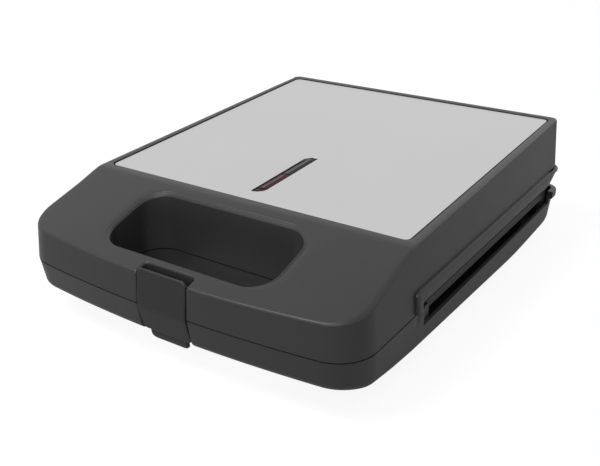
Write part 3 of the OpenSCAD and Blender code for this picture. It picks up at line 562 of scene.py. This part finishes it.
lid_knuckles = [knuckle(s * HINGE_X - 8, s * HINGE_X + 8, PART_Z + 19) for s in (-1, 1)]
lid_skin = thicken(join(lid_side, lid_ring, lid_border, lid_seat), WALL)
piece("lid_moulding", join(lid_skin, lid_rim, *lid_knuckles), "lid", ["lid_shell"])

# %% [markdown]
# ## The base
#
# The base is the same kind of moulding upside down. Its wall stops short beside the
# cooking plates, which leaves the dark slot along each side, and at the rear a rim
# stands proud of the wall. Underneath, one ring of rows surrounds the hand-hold and a
# plain grid closes the rest.

# %% Base wall and lower edge
# Depth of the hollow in the side wall in front of the slot
HOLLOW = 0.8
base_x, base_y = half_plan(0, 0, BASE_BACK)
lean = base_lean(base_x, base_y)
in_slot = (kind == FLANK) & (flank > SLOT_Y + 0.02) & (flank < SLOT_END - 0.02)
at_rear = (kind > FLANK) | ((kind == FLANK) & (flank > SLOT_END - 0.02))
high_z = np.where(in_slot, SLOT_Z, np.where(at_rear, REAR_RIM_Z - 3.5, PART_Z - GAP))


def base_row(t, turn):
    """A row of the base's right half: t falls down the wall, turn rounds the lower edge.

    Under the front end of the lid's band the wall is hollow, by a bell curve of y.
    """
    r = BASE_R + (BASE_SIDE_R - BASE_R) * ramp((base_y - Y_FRONT - 15) / 50)
    bend = r * (1 - np.cos(turn))
    z_foot = belly_z(base_y) + r
    g_high, g_foot = (PART_Z - high_z) * lean, (PART_Z - z_foot) * lean
    x, y = half_plan(g_high + (g_foot - g_high) * t + bend, 0.25 * bend, BASE_BACK)
    low = belly_z(y) + r * (1 - np.sin(turn))
    z = high_z + (low - high_z) * t
    bell = np.exp(-((y - LIP_Y + 0.3) / 3.0) ** 2) * (kind == FLANK)
    return x - HOLLOW * bell * ramp((z - 31) / 8), y, z


base_rows = [base_row(t, 0.0) for t in np.linspace(0, 1, 23)[:-1]]
base_rows += [base_row(1.0, a) for a in edge_turns]
base_side = sheet([both_sides(*row) for row in base_rows], flip=True)
under_x, under_y, under_z = base_rows[-1]
print("Lowest point of the belly: %.2f mm above the table" % under_z.min())

# %% Underside: ring round the hand-hold and grid behind it
across = share[kind == REAR]
turn_x = under_x[np.flatnonzero(front_flank)[-1]]
line_x = turn_x * across[1:]
q_under = np.concatenate([q_mouth[in_front], np.interp(line_x, [0, turn_x], [1, 0.675])])
round_x = np.concatenate([under_x[in_front], line_x])
round_y = np.concatenate([under_y[in_front], np.full_like(line_x, SPLIT_Y)])


# Radius of the hand-hold's lower edge
HOLE_R = 1.5
under_rows = slide((round_x, round_y), mouth_row(q_under, HOLE_R, 0, belly_z),
                   np.linspace(0, 1, 7), belly_z)
under_rows += [mouth_row(q_under, inset, -depth, belly_z)
               for inset, depth in round_edge(HOLE_R, [70, 50, 30, 10, 0])]
x, y, hole_foot = under_rows[-1]
under_rows += [(x, y, hole_foot + (PART_Z - GAP - hole_foot) * v) for v in (0.33, 0.67, 1.0)]
base_ring = sheet([both_sides(*row) for row in under_rows], flip=True)

pairs = np.flatnonzero(behind & (kind < REAR))
columns = np.concatenate([across, -across[-2::-1]])
field_x = np.append(under_x[pairs], HALF_W - REAR_R)[:, None] * columns
field_y = np.append(under_y[pairs], under_y[-1])[:, None] + 0 * columns
base_belly = sheet(np.stack([field_x, field_y, belly_z(field_y)], -1), closed=False)
print("Underside grid:", field_x.shape)

# %% Rim, lugs, stems and catch of the base
# Height of the rear rim; width of a hinge lug and its distance from the knuckle's middle
RIM_H, LUG_W, LUG_OFF = 6.5, 8.0, 12.4
base_rim = rim_part(at_rear, REAR_RIM_Z - RIM_H / 2, (RIM_H + 0.25) * np.tan(np.radians(SIDE_LEAN)),
                    rounded_section(-LIP_OUT, LIP_OUT, RIM_H, 1.3))
lug_x = [s * HINGE_X + t * LUG_OFF for s in (-1, 1) for t in (-1, 1)]
base_lugs = [knuckle(x - LUG_W / 2, x + LUG_W / 2, PART_Z - 15.5) for x in lug_x]


def stem(x, y, r, z0, z1):
    """A round stem with a 0.8 mm chamfer at its foot, z0 below and z1 above."""
    a = np.linspace(0, 2 * np.pi, 40, endpoint=False)
    circle = np.stack([r * np.cos(a), r * np.sin(a)], -1)
    path = np.stack([np.full(3, x), np.full(3, y), [z0, z0 + 0.8, z1]], -1)
    return sweep(path, (1, 0, 0), (0, 1, 0), circle, [1 - 0.8 / r, 1, 1])


# Stems that carry the feet: places, radius and foot; they reach 1 mm into the underside
FOOT_X, FOOT_Y, STEM_R, STEM_Z = 95.0, (-84.4, 128.7), 11.0, 4.02
base_stems = [stem(s * FOOT_X, y, STEM_R, STEM_Z, belly_z(y) + 1) for s in (-1, 1) for y in FOOT_Y]
# The bar that the latch snaps over: half width, and the middle of its section
CATCH_X, CATCH_Y, CATCH_Z = LATCH_X + 0.6, Y_FRONT + 7.15, PART_Z - 10.75
catch = sweep([(x, CATCH_Y, CATCH_Z) for x in (-CATCH_X, CATCH_X)], (0, 1, 0), (0, 0, 1),
              rounded_section(-2.75, 2.75, 2.5, 0.6) * [-1, 1])
# The gland's bore in the rear wall
GLAND_Z, GLAND_R = 24.0, 6.2


def open_for_gland(part):
    """Takes out the faces of the rear wall whose middle lies within the gland's bore."""
    points, faces = part
    x, y, z = points[faces].mean(1).T
    return points, faces[~((np.hypot(x, z - GLAND_Z) < GLAND_R) & (y > Y_REAR - 15))]


base_skin = thicken(open_for_gland(join(base_side, base_ring, base_belly)), WALL)
base_walls = inner_walls(CLOSING_X - 0.2, SLOT_Y - 5, SLOT_Y + 13, SLOT_Z - 3.5, PART_Z - 4.2)
base_parts = [base_skin, base_rim, catch, *base_lugs, *base_stems, *base_walls,
              collar(PART_Z - COLLAR_OFF)]
piece("base_moulding", join(*base_parts), "base", ["base_shell"])

# %% [markdown]
# ## The steel cover and the lamp window
#
# The cover is a pressed sheet, 0.8 mm thick, sunk into its seat so that a thin dark
# groove surrounds it. Its edge is broken by a small radius, which catches the light.
# One closed grid goes up the edge, in to the slanted window, and back underneath.

# %% Rows round the cover and its window
q_even = np.unique(np.concatenate([np.linspace(*run) for run in (
    (0, 0.25, 20), (0.25, 0.4, 9), (0.4, 0.6, 24), (0.6, 0.75, 9), (0.75, 1, 20))]))


def deck_z(y):
    """Height of the tilted plane that the cover and its border lie on."""
    return DECK_Z + (y - COVER_YC) * DECK_RISE


def cover_row(inset, depth):
    """A row round the cover, inset from its edge, depth below the deck."""
    x, y = rounded(q_even, COVER_X, COVER_Y, COVER_R, -inset)
    y = y + COVER_YC
    return both_sides(x, y, deck_z(y) - depth)


def window_row(grow, depth):
    """A row round the window: a rounded rectangle sheared by y += slant * x.

    The loop is turned so that its front edge faces the right of the cover. Each point of
    the cover then lies outside the edge that it is joined to, and no face folds over.
    """
    x, y = rounded(q_even, LENS_W / 2, LENS_L / 2, LENS_R, grow)
    loop = both_sides(x, y + LENS_Y, 0 * x)
    loop[:, 1] += SLANT * loop[:, 0]
    loop[:, 2] = deck_z(loop[:, 1]) - depth
    return np.roll(loop, int(0.8 * np.sum(q_even < 0.25)), axis=0)


print("Stations round the cover:", len(cover_row(0, 0)))

# %% Steel cover
# The cover's top lies SINK below the deck; its edge turns down with radius EDGE
SINK, EDGE = 0.5, 0.35
cover_rows = [cover_row(EDGE, SEAT_DEPTH), cover_row(0, SEAT_DEPTH - 0.1)]
cover_rows += [cover_row(inset, SINK + depth)
               for inset, depth in round_edge(EDGE, [0, 22, 45, 67, 90])]
inner = window_row(EDGE, SINK)
cover_rows += [cover_rows[-1] * (1 - v) + inner * v for v in (0.02, 0.25, 0.5, 0.75, 0.98)]
cover_rows += [window_row(grow, depth) for grow, depth in
               ((EDGE, SINK), (0.2, SINK + 0.05), (0.1, SINK + 0.2), (0.1, SEAT_DEPTH))]
cover_rows.append(cover_rows[0])
piece("steel_cover", outward(sheet(cover_rows)), "lid", ["top_plate"])

# %% [markdown]
# ## The lenses
#
# Two clear mouldings lie end to end in the slanted window, red in front for power and
# grey behind for ready. Each is a low gable with a flat crest, a section carried along y
# and then sheared like the window; the crest catches a line of light, and a painted
# highlight along it makes that line lighter still.

# %% Lenses
LENS_HALF = 3.75


def lens_part(y0, y1):
    """A bar whose section is a low gable with a flat crest, sheared like the window.

    Over 0.25 mm at each end it shrinks by 4 per cent, which rounds the ends.
    """
    half = np.array([[LENS_HALF, -4.5], [LENS_HALF, -1.5], [LENS_HALF - 0.4, -1.2],
                     [0.9, -0.65], [0.65, -0.5]])
    section = np.concatenate([half, half[::-1] * [-1, 1]])
    y = np.concatenate([[y0], np.linspace(y0 + 0.25, y1 - 0.25, 12), [y1]])
    path = np.stack([0 * y, y, deck_z(y)], -1)
    points, faces = sweep(path, (1, 0, 0), (0, 0, 1), section[::-1],
                          np.r_[0.96, np.ones(len(y) - 2), 0.96])
    points = points.copy()
    points[:, 1] += SLANT * points[:, 0]
    return points, faces


lens_y0, lens_y1 = LENS_Y - LENS_L / 2 + 0.8, LENS_Y + LENS_L / 2 - 0.8
# A short dark tip in front of the red lens: the joint between the two
TIP_Y = lens_y0 + 4.9
red_parts = lens_part(lens_y0, TIP_Y - 0.3), lens_part(TIP_Y + 0.3, LENS_Y - 0.1)
piece("power_window", join(*red_parts), "lid", ["power_lens"])
piece("ready_window", lens_part(LENS_Y + 0.1, lens_y1), "lid", ["ready_lens"])

# %% [markdown]
# ## The latch
#
# The latch is a flat moulding that hangs on a pin at the top of its channel, snaps over
# a catch in the base and ends in a narrower finger tongue that curls under the grip.
# Its plate is a set of rings that shrink from a rounded outline to a line in the
# middle, front and back, so that every edge has the same small radius.

# %% Plates of the latch
# Latch: top, foot, corner radius, edge radius; pin; play to one side in the channel
LATCH_TOP, LATCH_FOOT, LATCH_R, LATCH_EDGE = PART_Z + LID_FRONT + 3.2, PART_Z - 19.2, 3.4, 0.8
PIN_Y, PIN_Z, PLAY = Y_FRONT + 5.3, PART_Z + LID_FRONT - 4.6, 0.3
LEAN_UP, LEAN_DOWN = np.tan(np.radians([6.5, 14.5]))
# Finger tongue: half width, foot, top, corner radius, edge radius, thickness; its curl
# starts at CURL_Z and goes in by CURL_IN over a height of CURL_H
TONGUE = 15.3, 17.5, 28.5, 4.2
TONGUE_EDGE, TONGUE_T = 0.9, 2.6
CURL_Z, CURL_H, CURL_IN = 26.0, 8.8, 3.2


def face_y(z, soft=1.2):
    """Face of the latch: it leans in 6.5 degrees upwards and 14.5 degrees downwards."""
    up = soft * np.logaddexp(0, (z - PART_Z) / soft)
    down = soft * np.logaddexp(0, (PART_Z - z) / soft)
    return LATCH_Y + LEAN_UP * up + LEAN_DOWN * down


def tongue_y(z):
    """Face of the finger tongue: a quarter of an ellipse that curls in under the plate."""
    t = np.clip((CURL_Z - z) / CURL_H, 0, 0.97)
    return face_y(LATCH_FOOT) + 0.8 + CURL_IN * (1 - np.sqrt(1 - t ** 2))


def plate(half_x, low, high, corner, face, edge, thick):
    """A plate with rounded corners: rings that shrink to a line, in front and behind.

    Above the pin the plate thins to half, so that it can swing in its channel.
    """
    def row(inset, depth):
        x, z = rounded(q_even, half_x, (high - low) / 2, corner, -min(inset, corner - 0.05))
        more = max(inset - corner + 0.05, 0) / (half_x - corner + 0.05)
        x, z = x * (1 - more), z * (1 - 0.55 * more) + (low + high) / 2
        taper = (thick / 2 if depth > thick / 2 else 0) * ramp((z - PIN_Z) / 7)
        return both_sides(x, face(z) + depth - taper, z) + [PLAY, 0, 0]

    insets = np.linspace(edge + 0.9, half_x, 9)
    rows = [row(i, thick) for i in insets[::-1]] + [row(0.3, thick), row(0, thick - 0.3)]
    rows += [row(*step) for step in round_edge(edge, [0, 18, 36, 54, 72, 90])]
    rows += [row(i, 0) for i in insets]
    return outward(sheet(rows))


latch_plate = plate(LATCH_HALF, LATCH_FOOT, LATCH_TOP, LATCH_R, face_y, LATCH_EDGE, LATCH_T)
tongue = plate(*TONGUE, tongue_y, TONGUE_EDGE, TONGUE_T)
print("Latch plate %.1f ml, tongue %.1f ml" % (volume(latch_plate) / 1000, volume(tongue) / 1000))

# %% Latch
# Arms round the pin, seen from the side: (y, z) about the pin
arm_section = np.array([[-2.6, -9], [-2.6, 3.2], [-0.3, 3.6], [2.6, 2.6], [3.6, 0], [2.4, -2.7],
                        [0, -3.6]])
ARM_W = 4.6
arm_starts = (-LATCH_HALF + 0.1, LATCH_HALF - 0.1 - ARM_W)
latch_arms = [sweep([(x + d, PIN_Y, PIN_Z) for d in (0, 0.4, ARM_W - 0.4, ARM_W)], (0, 1, 0),
                    (0, 0, 1), arm_section, [0.92, 1, 1, 0.92]) for x in arm_starts]
piece("latch_moulding", join(latch_plate, tongue, *latch_arms), "latch", ["latch"])

# %% [markdown]
# ## Finishes
#
# A finish is a small graph of shader nodes. To keep it readable, a socket is wrapped in
# a class whose operators add Math nodes, so a formula looks like a formula, and every
# other node comes from one method. All patterns read Object coordinates, in metres, so
# they keep their real scale and stay on the piece when it moves.


# %% A socket that can be used in formulas
class Value:
    """Wraps an output socket; + - * / and ** add Math nodes."""

    def __init__(self, graph, socket):
        self.graph, self.socket = graph, socket

    def math(self, operation, *others):
        """A Math node on this value and others, for what has no operator."""
        return self.graph.node("ShaderNodeMath", {"operation": operation},
                               dict(enumerate([self, *others])))

    def __rsub__(self, other):
        return self.graph.node("ShaderNodeMath", {"operation": "SUBTRACT"}, {0: other, 1: self})

    def __add__(self, other): return self.math("ADD", other)
    def __sub__(self, other): return self.math("SUBTRACT", other)
    def __mul__(self, other): return self.math("MULTIPLY", other)
    def __truediv__(self, other): return self.math("DIVIDE", other)
    def __pow__(self, other): return self.math("POWER", other)
    __radd__, __rmul__ = __add__, __mul__


class Graph:
    """A tree of shader nodes, and one method that adds any node to it."""

    def __init__(self, tree):
        self.tree = tree

    def set(self, node, sockets):
        """Gives sockets their values, or links them where the value is a socket."""
        for key, value in sockets.items():
            socket = node.inputs[key]
            if isinstance(value, Value):
                self.tree.links.new(value.socket, socket)
            elif isinstance(value, (tuple, list)) and len(value) == 3 and socket.type == "RGBA":
                socket.default_value = (*value, 1)
            else:
                socket.default_value = value

    def node(self, kind, settings=None, sockets=None, out=0):
        """Adds a node: settings first, then values or links of its sockets."""
        node = self.tree.nodes.new(kind)
        for key, value in (settings or {}).items():
            setattr(node, key, value)
        self.set(node, sockets or {})
        return Value(self, node.outputs[out])

    def rays(self):
        """1 for a ray from the camera, in a mirror and through glass, and otherwise 0."""
        return [self.node("ShaderNodeLightPath", out="Is %s Ray" % kind)
                for kind in ("Camera", "Glossy", "Transmission")]


class Finish(Graph):
    """A material with a Principled shader, whose patterns read Object coordinates."""

    def __init__(self, name, **sockets):
        self.material = bpy.data.materials.new(name)
        self.material.use_nodes = True
        super().__init__(self.material.node_tree)
        self.shader = self.tree.nodes["Principled BSDF"]
        self.done(**sockets)
        self.place = self.node("ShaderNodeTexCoord", out="Object")

    def noise(self, scale, detail=2.0, rough=0.5, stretch=None):
        """Noise between 0 and 1, with about scale lumps to the metre."""
        place = self.place
        if stretch:
            place = self.node("ShaderNodeMapping", {}, {"Vector": place, "Scale": stretch})
        return self.node("ShaderNodeTexNoise", {}, {
            "Vector": place, "Scale": scale, "Detail": detail, "Roughness": rough})

    def along(self, axis):
        """One object coordinate, in metres."""
        return self.node("ShaderNodeSeparateXYZ", {}, {"Vector": self.place}, out=axis)

    def blend(self, factor, a, b, mode="MIX"):
        """A colour between a and b, or another mode of Mix."""
        return self.node("ShaderNodeMix", {"data_type": "RGBA", "blend_type": mode},
                         {0: factor, 6: a, 7: b}, out=2)

    def step(self, value, low, high):
        """0 below low, 1 above high, smooth in between."""
        return self.node("ShaderNodeMapRange", {"interpolation_type": "SMOOTHSTEP"}, {
            "Value": value, "From Min": low, "From Max": high})

    def bump(self, height, distance):
        """A normal bent by a height; distance is the height's full range in metres."""
        return self.node("ShaderNodeBump", {}, {"Height": height, "Distance": distance})

    def done(self, **sockets):
        """Sets the shader's sockets, whose names have _ for a space."""
        self.set(self.shader, {k.replace("_", " "): v for k, v in sockets.items()})
        return self.material


def shade(colour, factor):
    """A colour times a factor."""
    return tuple(c * factor for c in colour)


def dress(material, *names):
    """Gives a material to new pieces or CAD nodes by name."""
    for name in names:
        mesh = bpy.data.objects[name].data
        mesh.materials.clear()
        mesh.materials.append(material)


print("Shader helpers are ready")

# %% [markdown]
# ## Black plastic
#
# The mould is spark-eroded, which prints a fine matt grain on the plastic. A flat texture
# would stretch round the corners, so noise at the grain's real size bends the normal, and
# slower noise varies colour and sheen.

# %% Moulded plastics
def moulded(name, colour, rough, grain, depth, patch=0.10):
    """Spark-eroded plastic: a fine grain, slow patches of colour and a worn sheen."""
    f = Finish(name)
    slow = f.noise(22)
    fine = f.noise(grain, 3, 0.6)
    colour = f.blend(slow, shade(colour, 1 - patch), shade(colour, 1 + patch))
    speck = f.blend(f.step(fine, 0.35, 0.7), (0.93, 0.93, 0.93), (1.07, 1.07, 1.07))
    return f.done(Base_Color=f.blend(1.0, colour, speck, "MULTIPLY"),
                  Roughness=rough + 0.10 * (slow - 0.5) + 0.06 * (fine - 0.5),
                  Normal=f.bump(fine, depth), Specular_IOR_Level=0.33)


black = moulded("matt_black_plastic", (0.027, 0.027, 0.0273), 0.38, 1400, 0.00006)
heat_black = moulded("frame_black_plastic", (0.024, 0.024, 0.0245), 0.52, 1000, 0.00005)
latch_black = moulded("latch_black_plastic", (0.015, 0.015, 0.0153), 0.42, 1900, 0.00004)
dress(black, "lid_moulding", "base_moulding", "lid_handle_cover", "base_handle_cover")
dress(heat_black, "upper_frame", "lower_frame")
dress(latch_black, "latch_moulding")
print("Plastics:", black.name, heat_black.name, latch_black.name)

# %% [markdown]
# ## Metal and lenses
#
# The cover is brushed from front to rear, so its noise is squeezed across that direction.
# It is folded down at its edge, where painted shade darkens it; a formula for the distance
# to its outline places that painted shade. The small metal parts have the same kind of finish.

# %% Steel cover
def sheet_metal(name, colour, rough, lines, depth, stretch=(1, 1, 1), painted_shade_outline=None):
    """Metal with fine lines: noise squeezed across the brushing direction.

    Given the cover's outline, the last 0.6 mm of the sheet get painted shade, where it is
    folded down into its groove: the distance to a rounded rectangle is |(dx, dy)| - radius.
    """
    f = Finish(name, Metallic=1.0)
    line = f.noise(lines, 4, 0.65, stretch)
    slow = f.noise(7)
    tint = f.blend(line * 0.5 + slow * 0.5, shade(colour, 0.95), shade(colour, 1.05))
    if painted_shade_outline:
        half_x, half_y, r, middle = (v * MM for v in painted_shade_outline)
        dx = (f.along("X").math("ABSOLUTE") - (half_x - r)).math("MAXIMUM", 0.0)
        dy = ((f.along("Y") - middle).math("ABSOLUTE") - (half_y - r)).math("MAXIMUM", 0.0)
        edge = (dx * dx + dy * dy) ** 0.5 - r
        # Painted shade: near-black on the outer 0.6 mm of the cover, for the fold down into its
        # dark groove
        tint = f.blend(f.step(edge, -0.0007, -0.0004), tint, (0.02, 0.02, 0.02))
    return f.done(Base_Color=tint, Roughness=rough + 0.12 * (line - 0.5),
                  Normal=f.bump(line, depth))


cover_steel = sheet_metal("brushed_steel_cover", (0.55, 0.55, 0.55), 0.42, 14, 0.000015,
                          (220, 4, 60), (COVER_X, COVER_Y, COVER_R, COVER_YC))
dress(cover_steel, "steel_cover")
print("Cover:", cover_steel.name)


# %% Lenses and hidden metal
def lens(name, colour, crest):
    """Tinted clear plastic over a dark lamp chamber, with a painted highlight along its flat crest.
    """
    f = Finish(name, Specular_IOR_Level=0.16)
    slow = f.noise(240)
    side = f.along("X").math("ABSOLUTE")
    # Painted highlight: within about 0.4 mm of the middle the lens takes the lighter crest colour
    tint = f.blend(f.step(side, 0.0004, 0.0012), crest, colour)
    tint = f.blend(slow * 0.5, tint, shade(colour, 0.6))
    behind_tip = f.step(f.along("Y"), TIP_Y * MM - 0.0003, TIP_Y * MM + 0.0003)
    tint = f.blend(behind_tip, (0.012, 0.012, 0.013), tint)
    return f.done(Base_Color=tint, Roughness=0.30 + 0.1 * slow)


# The second colour of each lens is its painted highlight along the crest
dress(lens("dark_red_lens", (0.042, 0.010, 0.017), (0.12, 0.040, 0.060)), "power_window")
dress(lens("smoke_grey_lens", (0.018, 0.018, 0.0185), (0.10, 0.10, 0.10)), "ready_window")

pin_steel = sheet_metal("ground_steel", (0.55, 0.55, 0.54), 0.30, 900, 0.00001)
zinc = sheet_metal("zinc_plate", (0.58, 0.58, 0.55), 0.38, 700, 0.00002)
tray = sheet_metal("heat_tinted_sheet", (0.14, 0.135, 0.13), 0.50, 20, 0.00001, (30, 200, 60))
tube = sheet_metal("annealed_tube", (0.34, 0.30, 0.26), 0.42, 260, 0.00002)
dress(pin_steel, "latch_pin", "hinge_pins")
dress(zinc, "upper_screws", "lower_screws")
dress(tray, "upper_reflector", "lower_reflector")
dress(tube, "upper_heater", "lower_heater")
dress(sheet_metal("fuse_brass", (0.60, 0.48, 0.26), 0.35, 500, 0.00001), "thermal_fuse")
print("Finishes so far:", len(bpy.data.materials))

# %% Coated plates, rubber, nylon, ceramic and glass
def coated(name):
    """Non-stick coating on cast aluminium: dark, faintly mottled, with fine orange peel."""
    f = Finish(name)
    peel = f.noise(650, 3, 0.55)
    fleck = f.step(f.noise(5200, 1, 0.5), 0.62, 0.72)
    tint = f.blend(fleck * 0.5, (0.021, 0.021, 0.022), (0.060, 0.060, 0.062))
    return f.done(Base_Color=tint, Roughness=0.36 + 0.10 * (peel - 0.5),
                  Normal=f.bump(peel, 0.00008))


dress(coated("non_stick_coating"), "upper_cooking_plate", "lower_cooking_plate")
dress(moulded("soft_rubber", (0.020, 0.020, 0.020), 0.78, 900, 0.00008), "front_feet",
      "rear_feet", "cord_gland")
dress(moulded("natural_nylon", (0.62, 0.60, 0.54), 0.45, 500, 0.00003, 0.04), "terminal_block",
      "lamp_holder")
dress(moulded("steatite", (0.60, 0.55, 0.46), 0.60, 800, 0.00005, 0.05), "thermostat")
# Small neon bulbs: thin glass, faintly orange where the electrodes glow
glass = Finish("neon_glass", Roughness=0.12)
amber = glass.blend(glass.noise(300), (0.75, 0.42, 0.24), (0.90, 0.62, 0.42))
dress(glass.done(Base_Color=amber), "neon_lamps")
print("Finishes:", len(bpy.data.materials))

# %% [markdown]
# ## Studio
#
# The toaster stands on a pale floor in soft, even light. To the camera and to mirror-like
# rays, Light Path adds a white glow over the lit floor, so that the floor comes out white
# where nothing shades it and keeps the toaster's soft shadow. The world does the same.

# %% Floor
# How much of the white glow the camera and mirror-like rays see, and its strength
SEEN_GLOW, MIRRORED_GLOW, FLOOR_GLOW = 0.72, 0.12, 1.25
FLOOR_HALF = 3000.0
pale = Finish("white_floor", Roughness=0.9)
grain = pale.noise(30)
pale.done(Base_Color=pale.blend(grain, (0.44, 0.44, 0.44), (0.48, 0.48, 0.48)))
seen, mirrored, through = pale.rays()
glow = pale.node("ShaderNodeEmission", {}, {"Color": (1, 1, 1), "Strength": FLOOR_GLOW})
mixed = pale.node("ShaderNodeMixShader", {}, {
    0: (seen + through) * SEEN_GLOW + mirrored * MIRRORED_GLOW,
    1: Value(pale, pale.shader.outputs[0]), 2: glow})
pale.set(pale.tree.nodes["Material Output"], {"Surface": mixed})

corners = np.array([[-1, -1, 0], [1, -1, 0], [1, 1, 0], [-1, 1, 0]]) * FLOOR_HALF
floor = piece("floor", (corners, np.array([[0, 1, 2, 3]])), "base")
floor.parent = None
dress(pale.material, "floor")

# %% World and lamps
AMBIENT = 0.45
world = bpy.data.worlds.new("studio")
bpy.context.scene.world = world
world.use_nodes = True
sky = Graph(world.node_tree)
seen, mirrored, through = sky.rays()
shown = seen.math("MAXIMUM", mirrored).math("MAXIMUM", through)
strength = sky.node("ShaderNodeMapRange", {}, {"Value": shown, "To Min": AMBIENT, "To Max": 1.0})
sky.set(sky.tree.nodes["Background"], {"Color": (1, 1, 1), "Strength": strength})


def lamp(name, place, size, power):
    """A square area lamp that looks at the middle of the toaster."""
    data = bpy.data.lights.new(name, "AREA")
    data.size, data.energy = size, power
    made = bpy.data.objects.new(name, data)
    bpy.context.scene.collection.objects.link(made)
    made.location = place
    x, y, z = np.array(place) - [0, 0, 0.05]
    made.rotation_euler = (np.pi / 2 - np.arctan2(z, np.hypot(x, y)), 0, np.arctan2(x, -y))


# Places in metres, sizes in metres, powers in watts
lamp("key", (-0.5, -0.9, 1.6), 0.5, 16)
lamp("rear", (0.45, 1.35, 0.8), 0.6, 1.2)
lamp("front", (0.35, -1.4, 0.9), 0.8, 7)
print("Lamps:", [light.name for light in bpy.data.lights])

# %% Camera
# Where it stands in metres, the angles it looks along and turns by, and its lens in mm
VIEW_AT = (0.32722, -0.510995, 0.310182)
VIEW_AZ, VIEW_EL, VIEW_ROLL = np.radians([33.6524, 24.8162, -0.3088])
VIEW_LENS, VIEW_FILM = 51.13, 36.0
view = bpy.data.cameras.new("view")
view.lens, view.sensor_width, view.clip_start = VIEW_LENS, VIEW_FILM, 0.01
camera = bpy.data.objects.new("view", view)
bpy.context.scene.collection.objects.link(camera)
back = np.array([np.sin(VIEW_AZ) * np.cos(VIEW_EL), -np.cos(VIEW_AZ) * np.cos(VIEW_EL),
                 np.sin(VIEW_EL)])
right = np.array([np.cos(VIEW_AZ), np.sin(VIEW_AZ), 0])
up = np.cross(back, right)
# The camera's own x, y and z axes as columns; Blender reads a nested list by columns
cos, sin = np.cos(VIEW_ROLL), np.sin(VIEW_ROLL)
matrix = np.eye(4)
matrix[:3, :3] = np.array([cos * right + sin * up, cos * up - sin * right, back]).T
matrix[:3, 3] = VIEW_AT
camera.matrix_world = matrix.T.tolist()
bpy.context.scene.camera = camera
bpy.context.scene.view_settings.view_transform = "Standard"
print("Camera %.2f m from the toaster" % np.linalg.norm(VIEW_AT))
